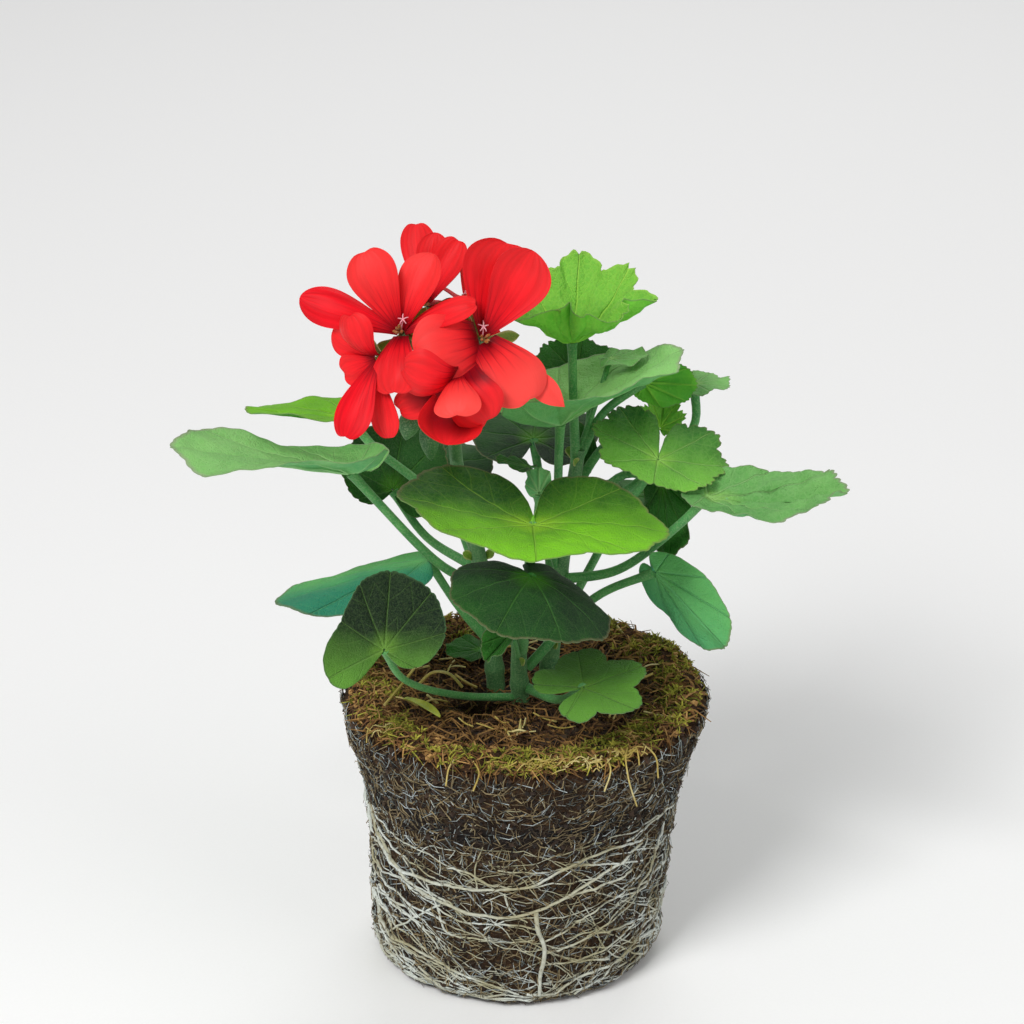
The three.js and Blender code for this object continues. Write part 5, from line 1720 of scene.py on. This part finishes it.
keep_off_floor(side_crumbs)
hand_over(side_crumbs, "peat")

# %% [markdown]
# The top is strewn the same way, over rings that grow smaller toward its middle.

# %% Top of the ball
BARE = 0.1
SHADED_COVER = 0.45
# Fewer light fibres lie among the stems, so the peat there looks darker: painted shade under the
# leaves.
SHADED_PATCH = (0, 12)
SHADED_PATCH_RADIUS = 27


def on_disc(radius, turn):
    """A point on the rough top of the ball at a distance from its middle."""
    return top_point(*level_spot(turn, radius), 0.0)


top_rings = [[on_disc(radius, turn) for turn in bed_turns[::2]]
             for radius in np.linspace(BALL_RADIUS - 2, 1, TOP_ROWS)]


def hole_and_shade_cover(point):
    """Bare in the hole, and thin among the stems so that the dark peat shows there: painted shade."""
    if math.dist(point[:2], HOLE) < HOLE_RADIUS * 0.8:
        return BARE
    return SHADED_COVER if math.dist(point[:2], SHADED_PATCH) < SHADED_PATCH_RADIUS else 1.0


top_fibres = strew(
    "peat_top_fibres", bed("top_bed", top_rings, hole_and_shade_cover),
    [(fibre(7, 0.28, 1.8), 3), (fibre(5, 0.4, 1.2), 3), (fibre(10, 0.22, 2.6), 3)],
    TOP_FIBRE, 60, (0.5, 1.4), 24, 12)
top_crumbs = strew(
    "peat_top_crumbs", bed("top_bed", top_rings, hole_and_shade_cover),
    [(crumb(3.0), 5), (crumb(2.2), 5), (crumb(1.6), 4)], CRUMB, 20, (0.5, 1.3), 60, 16)
hand_over(top_crumbs, "peat")
hand_over(top_fibres, "peat")

# %% [markdown]
# Moss grows in a ring along the rim, where the peat stayed light and damp. It is a low cushion
# with thousands of small tufts, denser in some places than in others.

# %% Moss
MOSS_WIDTH = 17
MOSS_HEIGHT = 2.6
MOSS_CLEARANCE = 0.3
MOSS_COLUMNS = 240
MOSS_WANDER = 0.03
CUSHION_SIZE = 11
CUSHION_LOWEST = 0.55
CUSHION_RISE = 0.9
MOSS_GRAIN_SIZE = 1.9
MOSS_GRAIN = 0.35
PATCH_OF_MOSS = 9
LEAST_MOSS = 0.04
COMMON_MOSS = 0.22
MOSS_IN_FRONT = -0.03
MOSS_ON_RIGHT = 0.36
MOSS_IN_PATCHES = 1.7
LEAST_LITTER = 0.75
LITTER_ON_LEFT = 0.6
inner = BALL_RADIUS - 2 - MOSS_WIDTH
MOSS_PROFILE = [(0.0, 0.0), (1.0, 0.0), (0.99, 0.35), (0.94, 0.7), (0.82, 0.95), (0.65, 1.0),
                (0.45, 0.9), (0.25, 0.7), (0.1, 0.35)]


def moss_wander(turn):
    """How the inner border of the ring wanders."""
    return 1 + MOSS_WANDER * (math.sin(5 * turn) + math.cos(8 * turn) / 2)


def moss_point(turn, across, up):
    """A point of the moss cushion."""
    radius = inner + across * MOSS_WIDTH
    if across < 0.5:
        radius *= moss_wander(turn)
    spot = np.array([*level_spot(turn, radius), 0.0])
    thicker = max(0.0, noise.noise(Vector(spot) / CUSHION_SIZE) + 0.35)
    patch = CUSHION_LOWEST + CUSHION_RISE * thicker
    rough = MOSS_GRAIN * noise.noise(Vector(spot) / MOSS_GRAIN_SIZE)
    spot[2] = BALL_HEIGHT + MOSS_CLEARANCE + up * (MOSS_HEIGHT * patch + rough)
    return spot


moss_turns = np.linspace(0, 2 * math.pi, MOSS_COLUMNS, endpoint=False)
points = [[moss_point(turn, across, up) for turn in moss_turns] for across, up in MOSS_PROFILE]
rows = len(MOSS_PROFILE)
spot = np.arange(rows * len(moss_turns)).reshape(rows, -1)
below = np.roll(spot, -1, axis=0)
faces = np.stack(
    [spot, np.roll(spot, -1, axis=1), np.roll(below, -1, axis=1), below], -1).reshape(-1, 4)
cushion = new_piece("moss_cushion", np.array(points).reshape(-1, 3), faces, [PEAT])
cushion.data.shade_smooth()
print("Moss cushion of", len(faces), "quads")

# %% [markdown]
# Tufts stand on the cushion where it is mossy, and brown litter lies between them.

# %% Tufts and litter


def tuft(strands, height):
    """A tuft of moss: a few short leaning strands."""
    routes = []
    for number in range(strands):
        turn = 2 * math.pi * number / strands + rng.uniform(-0.4, 0.4)
        lean = rng.uniform(0.3, 0.9) * height
        tip = np.array([math.cos(turn) * lean, math.sin(turn) * lean, height * rng.uniform(0.6, 1)])
        routes.append((np.array([(0, 0, 0), tip * (0.45, 0.45, 0.65), tip]),
                       np.array([0.3, 0.35, 0.08])))
    return routes


def moss_cover(point):
    """Moss grows in patches, more of it on the right."""
    patch = noise.noise(Vector(point) / PATCH_OF_MOSS)
    front = MOSS_IN_FRONT * max(0.0, -point[1] / BALL_RADIUS)
    right = MOSS_ON_RIGHT * max(0.0, point[0] / BALL_RADIUS)
    cover = COMMON_MOSS + front + right + MOSS_IN_PATCHES * patch
    return min(1.0, max(LEAST_MOSS, cover))


def litter_cover(point):
    """Litter gathered on the left, where less moss grows."""
    return LEAST_LITTER + LITTER_ON_LEFT * max(0.0, -point[0] / BALL_RADIUS)


moss_rings = [[moss_point(turn, across, up) for turn in bed_turns]
              for across, up in [(1.0, 0.3), (0.94, 0.7), (0.82, 0.95), (0.65, 1.0), (0.45, 0.9),
                                 (0.25, 0.7), (0.05, 0.2)]]
moss_tufts = strew(
    "moss_tufts", bed("moss_bed", moss_rings, moss_cover),
    [(tuft(4, 2.2), 3), (tuft(3, 1.8), 3), (fibre(7, 0.22, 2.5), 3), (fibre(5, 0.25, 2.0), 3)],
    MOSS, 90, (0.5, 1.2), 35, 13)
moss_litter = strew(
    "moss_litter", bed("moss_bed", moss_rings, litter_cover),
    [(fibre(7, 0.26, 1.8), 3), (fibre(5, 0.36, 1.2), 3), (crumb(2.0), 4)],
    LITTER, 45, (0.5, 1.2), 25, 14)
hand_over(moss_litter, "peat")
hand_over(join([cushion, moss_tufts], "moss_mat_grown"), "moss", "moss_mat")

# %% [markdown]
# The roots followed the inside of the pot, so they lie flat on the side of the ball, most of them
# in its lower half, where they run sideways and cross each other. Each root is a random walk over
# the side that keeps its heading for a while; the few thick ones are listed.

# %% Roots
ROOT_STEP = 2.2
ROOT_WANDER = 0.15
LAID_SHARE = 0.8
LAID_LIFT = 0.3
WALKED_SHARES = (0.6, 1.4)
WALKED_LIFT = 0.25
CLIMB = 4
WEB_TOP = 60
WEB_BOTTOM = 2.5
WEB_SAG = 0.55
WEB_PULL = 0.12
WEB_GIRTH = 1.05
SIDE_LIGHT_THICKENING = 0.5
LONG_ROOTS = 110
FINE_ROOTS = 520
SHORT_ROOTS = 110


def laid_root(route, girth, steps):
    """A root laid through given angles in degrees and heights."""
    turns_and_heights = smooth_route([(angle, height, 0) for angle, height in route], steps)
    return [side_point(math.radians(angle), height, girth * LAID_SHARE + LAID_LIFT)
            for angle, height, _ in turns_and_heights]


def walked_root(turn, height, heading, reach, girth):
    """A root that wanders over the side."""
    points = []
    ceiling = max(WEB_TOP, height) + CLIMB
    for _ in range(max(3, round(reach / ROOT_STEP))):
        lift = WALKED_LIFT + girth * rng.uniform(*WALKED_SHARES)
        points.append(side_point(turn, height, lift))
        heading += rng.normal(0, ROOT_WANDER)
        sag = WEB_SAG * math.sin(2 * turn) * math.copysign(1, math.cos(heading))
        level = 0 if math.cos(heading) > 0 else math.pi
        heading -= WEB_PULL * math.sin(heading - level - sag)
        turn += math.cos(heading) * ROOT_STEP / float(side_radius(height))
        height += math.sin(heading) * ROOT_STEP
        if height < WEB_BOTTOM or height > ceiling:
            heading = -heading
            height = min(max(height, WEB_BOTTOM), ceiling)
    return np.array(points)


def tone_by_place(piece, middle, change, fineness, painted_side_light=0):
    """Lets the tone of a piece change from place to place; the last number lightens both sides as
    painted light.
    """
    mark(piece, "tone", [
        middle + change * noise.noise(vertex.co * fineness)
        + painted_side_light * abs(vertex.co.x / MM) / BALL_RADIUS for vertex in piece.data.vertices])


print("Each step of a wandering root is", ROOT_STEP, "mm")

# %% [markdown]
# The thick roots follow angles round the ball in degrees and heights in millimetres.

# %% Laid roots
MAIN_ROOTS = [
    ([(-78, 60), (-62, 50), (-46, 42), (-30, 38.5), (-14, 37), (2, 38), (16, 44), (32, 50), (50, 56)],
     0.6, 60),
    ([(16, 44), (24, 45), (34, 45.5), (46, 47)], 0.5, 20),
    ([(6, 39), (7, 32), (10, 24), (9, 15), (9, 5)], 0.85, 24),
]
main_routes = []
for route, girth, steps in MAIN_ROOTS:
    path = np.array(laid_root(route, girth, steps))
    main_routes.append((path, girth * np.linspace(1, 0.75, len(path))))
main_roots = stalks("surface_root_grown", main_routes, 8, ROOT)
tone_by_place(main_roots, 0.72, 0.25, 60)
hand_over(main_roots, "root", "surface_root")

LAID_ROOTS = [
    ([(-88, 60), (-76, 53), (-65, 47), (-53, 44.5), (-41, 46), (-16, 47), (2, 49.5), (17, 56),
      (34, 59), (50, 57)], 0.6),
    ([(10, 53), (19, 56), (30, 54), (41, 51.6), (52, 48)], 0.42),
    ([(-84, 26), (-62, 15), (-46, 16), (-32, 14), (-20, 11.5), (-9, 8.5), (1, 6)], 0.55),
    ([(-70, 30), (-49, 28), (-39, 24.5), (-32, 20)], 0.45),
    ([(4, 6), (14, 5), (23, 9), (32, 11), (43, 11), (55, 14), (72, 13)], 0.5),
    ([(10, 22), (22, 24), (31, 26), (42, 24.5), (55, 23.5), (72, 22)], 0.4),
    ([(-38, 46), (-33, 36), (-28, 28), (-16, 27), (-5, 27), (6, 28)], 0.4),
    ([(-16, 47), (-17, 55), (-14, 65)], 0.33),
    ([(-6, 46), (-3, 39), (3, 35)], 0.4),
    ([(66, 57), (63, 52), (58, 43), (50, 37), (40, 35)], 0.4),
    ([(-86, 44), (-76, 33), (-66, 23), (-58, 17), (-48, 12)], 0.4),
    ([(-88, 50), (-72, 38), (-53, 40.5), (-40, 39.5)], 0.36),
    ([(-60, 13), (-42, 13.5), (-29, 12), (-16, 9), (-4, 5.7)], 0.35),
    ([(-80, 22), (-60, 10), (-40, 6), (-20, 4), (0, 3.2), (24, 4), (40, 6)], 0.4),
    ([(9, 26), (20, 31), (34, 37), (50, 42), (62, 50)], 0.34),
    ([(8, 32), (-4, 34), (-20, 33), (-34, 36), (-50, 41)], 0.36),
    ([(9, 18), (24, 17), (40, 19), (60, 28), (76, 40)], 0.34),
]
# %% [markdown]
# The web is the laid roots, long wandering ones, a great many fine ones, and short ones round the
# ledge. All of them are a little thicker on the flanks and lighter there, which paints the light
# that falls on the sides.

# %% Web of roots
web = []
for route, girth in LAID_ROOTS:
    path = np.array(laid_root(route, girth, 8 * len(route)))
    web.append((path, girth * np.linspace(1, 0.6, len(path))))
for _ in range(LONG_ROOTS):
    girth = rng.uniform(0.22, 0.42)
    start_height = WEB_TOP * rng.uniform(0, 1) ** 1.5
    heading = rng.choice([0, math.pi]) + rng.normal(0, 0.5)
    path = walked_root(
        rng.uniform(0, 2 * math.pi), max(3, start_height), heading, rng.uniform(30, 110), girth)
    web.append((path, girth * np.linspace(1, 0.45, len(path))))
for _ in range(FINE_ROOTS):
    girth = rng.uniform(0.1, 0.2)
    start_height = (WEB_TOP + 2) * rng.uniform(0, 1) ** 1.3
    path = walked_root(
        rng.uniform(0, 2 * math.pi), max(3, start_height), rng.uniform(0, 2 * math.pi),
        rng.uniform(8, 30), girth)
    web.append((path, girth * np.linspace(1, 0.5, len(path))))
for _ in range(SHORT_ROOTS):
    girth = rng.uniform(0.18, 0.26)
    path = walked_root(
        rng.uniform(0, 2 * math.pi), rng.uniform(56, 84), rng.uniform(0, 2 * math.pi), 5, girth)
    web.append((path, girth * np.linspace(0.7, 0.8, len(path))))
web = [(path, girths * (WEB_GIRTH + SIDE_LIGHT_THICKENING * (path[:, 0] / BALL_RADIUS) ** 2))
       for path, girths in web]
root_web = stalks("root_web", web, 5, ROOT)
# The flanks of the web are lighter: painted light on the sides.
tone_by_place(root_web, 0.62, 0.6, 90, 0.45)
keep_off_floor(root_web)
hand_over(root_web, "root")

# %% [markdown]
# Straw and a blade of grass lie on the top, where they were caught in the moss.

# %% Straw
LOOSE_STRAWS = 46
HALVES = (-0.5, 0, 0.5)
STRAW_HEAPS = [(9, -56, 4, 56), (20, -55, 5, 34), (35, -48, 3.5, 36), (-43, -33, 4, 16)]
HEAP_DEPTH = 1.5
OVER_EDGE = 0.6
EDGE_DROP = 0.9
straws = []
for _ in range(LOOSE_STRAWS):
    turn = rng.uniform(0, 2 * math.pi)
    radius = rng.uniform(20, BALL_RADIUS - 4)
    x, y = level_spot(turn, radius)
    direction = rng.uniform(0, math.pi)
    reach = rng.uniform(5, 12)
    points = []
    for part in HALVES:
        points.append(top_point(
            x + math.cos(direction) * reach * part, y + math.sin(direction) * reach * part,
            2.2 + rng.uniform(0, 1.6)))
    straws.append((smooth_route(points, 6), rng.uniform(0.25, 0.5)))
for heap_x, heap_y, spread, count in STRAW_HEAPS:
    for _ in range(count):
        x, y = rng.normal(heap_x, spread), rng.normal(heap_y, HEAP_DEPTH)
        direction = rng.normal(0.2, 0.9)
        reach = rng.uniform(2, 5.5)
        points = []
        for part in HALVES:
            along = np.array([x + math.cos(direction) * reach * part,
                              y + math.sin(direction) * reach * part])
            over = max(0.0, np.linalg.norm(along - (BALL_LEAN, 0)) - BALL_RADIUS + 1)
            spot = top_point(*along, 2.4 + rng.uniform(0, 2.2))
            spot[:2] -= (along - (BALL_LEAN, 0)) * OVER_EDGE * over / BALL_RADIUS
            spot[2] -= EDGE_DROP * over
            points.append(spot)
        straws.append((smooth_route(points, 5), rng.uniform(0.14, 0.3)))
HANGING_STRAWS = [
    [(37, -44, 98), (36, -52, 98), (37, -55.5, 92), (40, -50, 79)],
    [(30, -52, 98), (31, -57, 96), (29, -58, 89)],
    [(42, -42, 98), (46, -47, 96), (47, -47, 88)],
    [(-20, -52, 98), (-22, -57, 97), (-23, -58, 91)],
    [(-14, -54, 98), (-12, -59, 96.5), (-14, -59.5, 90)]]
CURLED_STRAWS = [
    [(-33, -5, 109), (-38, -15, 106.5), (-44, -24, 103)],
    [(-34, -14, 104), (-28, -10, 108), (-22.5, -10, 107.5), (-18, -14, 104.5)]]
for route in HANGING_STRAWS:
    straws.append((smooth_route(route, 12), 0.3))
for route in CURLED_STRAWS:
    straws.append((smooth_route(route, 14), 0.55))
straws.append((smooth_route([(1.4, 0.2, 94), (1.2, 0.6, 100), (1.6, 1.0, 105)], 6), 0.7))
straw = stalks("straw_bits", straws, 5, STRAW)
tone_by_place(straw, 0.7, 0.5, 120)
hand_over(straw, "moss")

# One blade of grass is fading: still olive at its foot, yellow where it has dried.
GRASS = green_stalk("fading_grass_blade", "#8C9A1C", "#DCD648")
grass = petal_sheet(
    "grass_blade", (-38, -11, 99.3),
    {"tip": as_seen((12, -15, 0.5)), "width": 3, "bow": 1.2, "cup": 0.5},
    (0, 0.9, 0.4), GRASS, 0.3, 2, 0.2)
hand_over(grass, "moss")
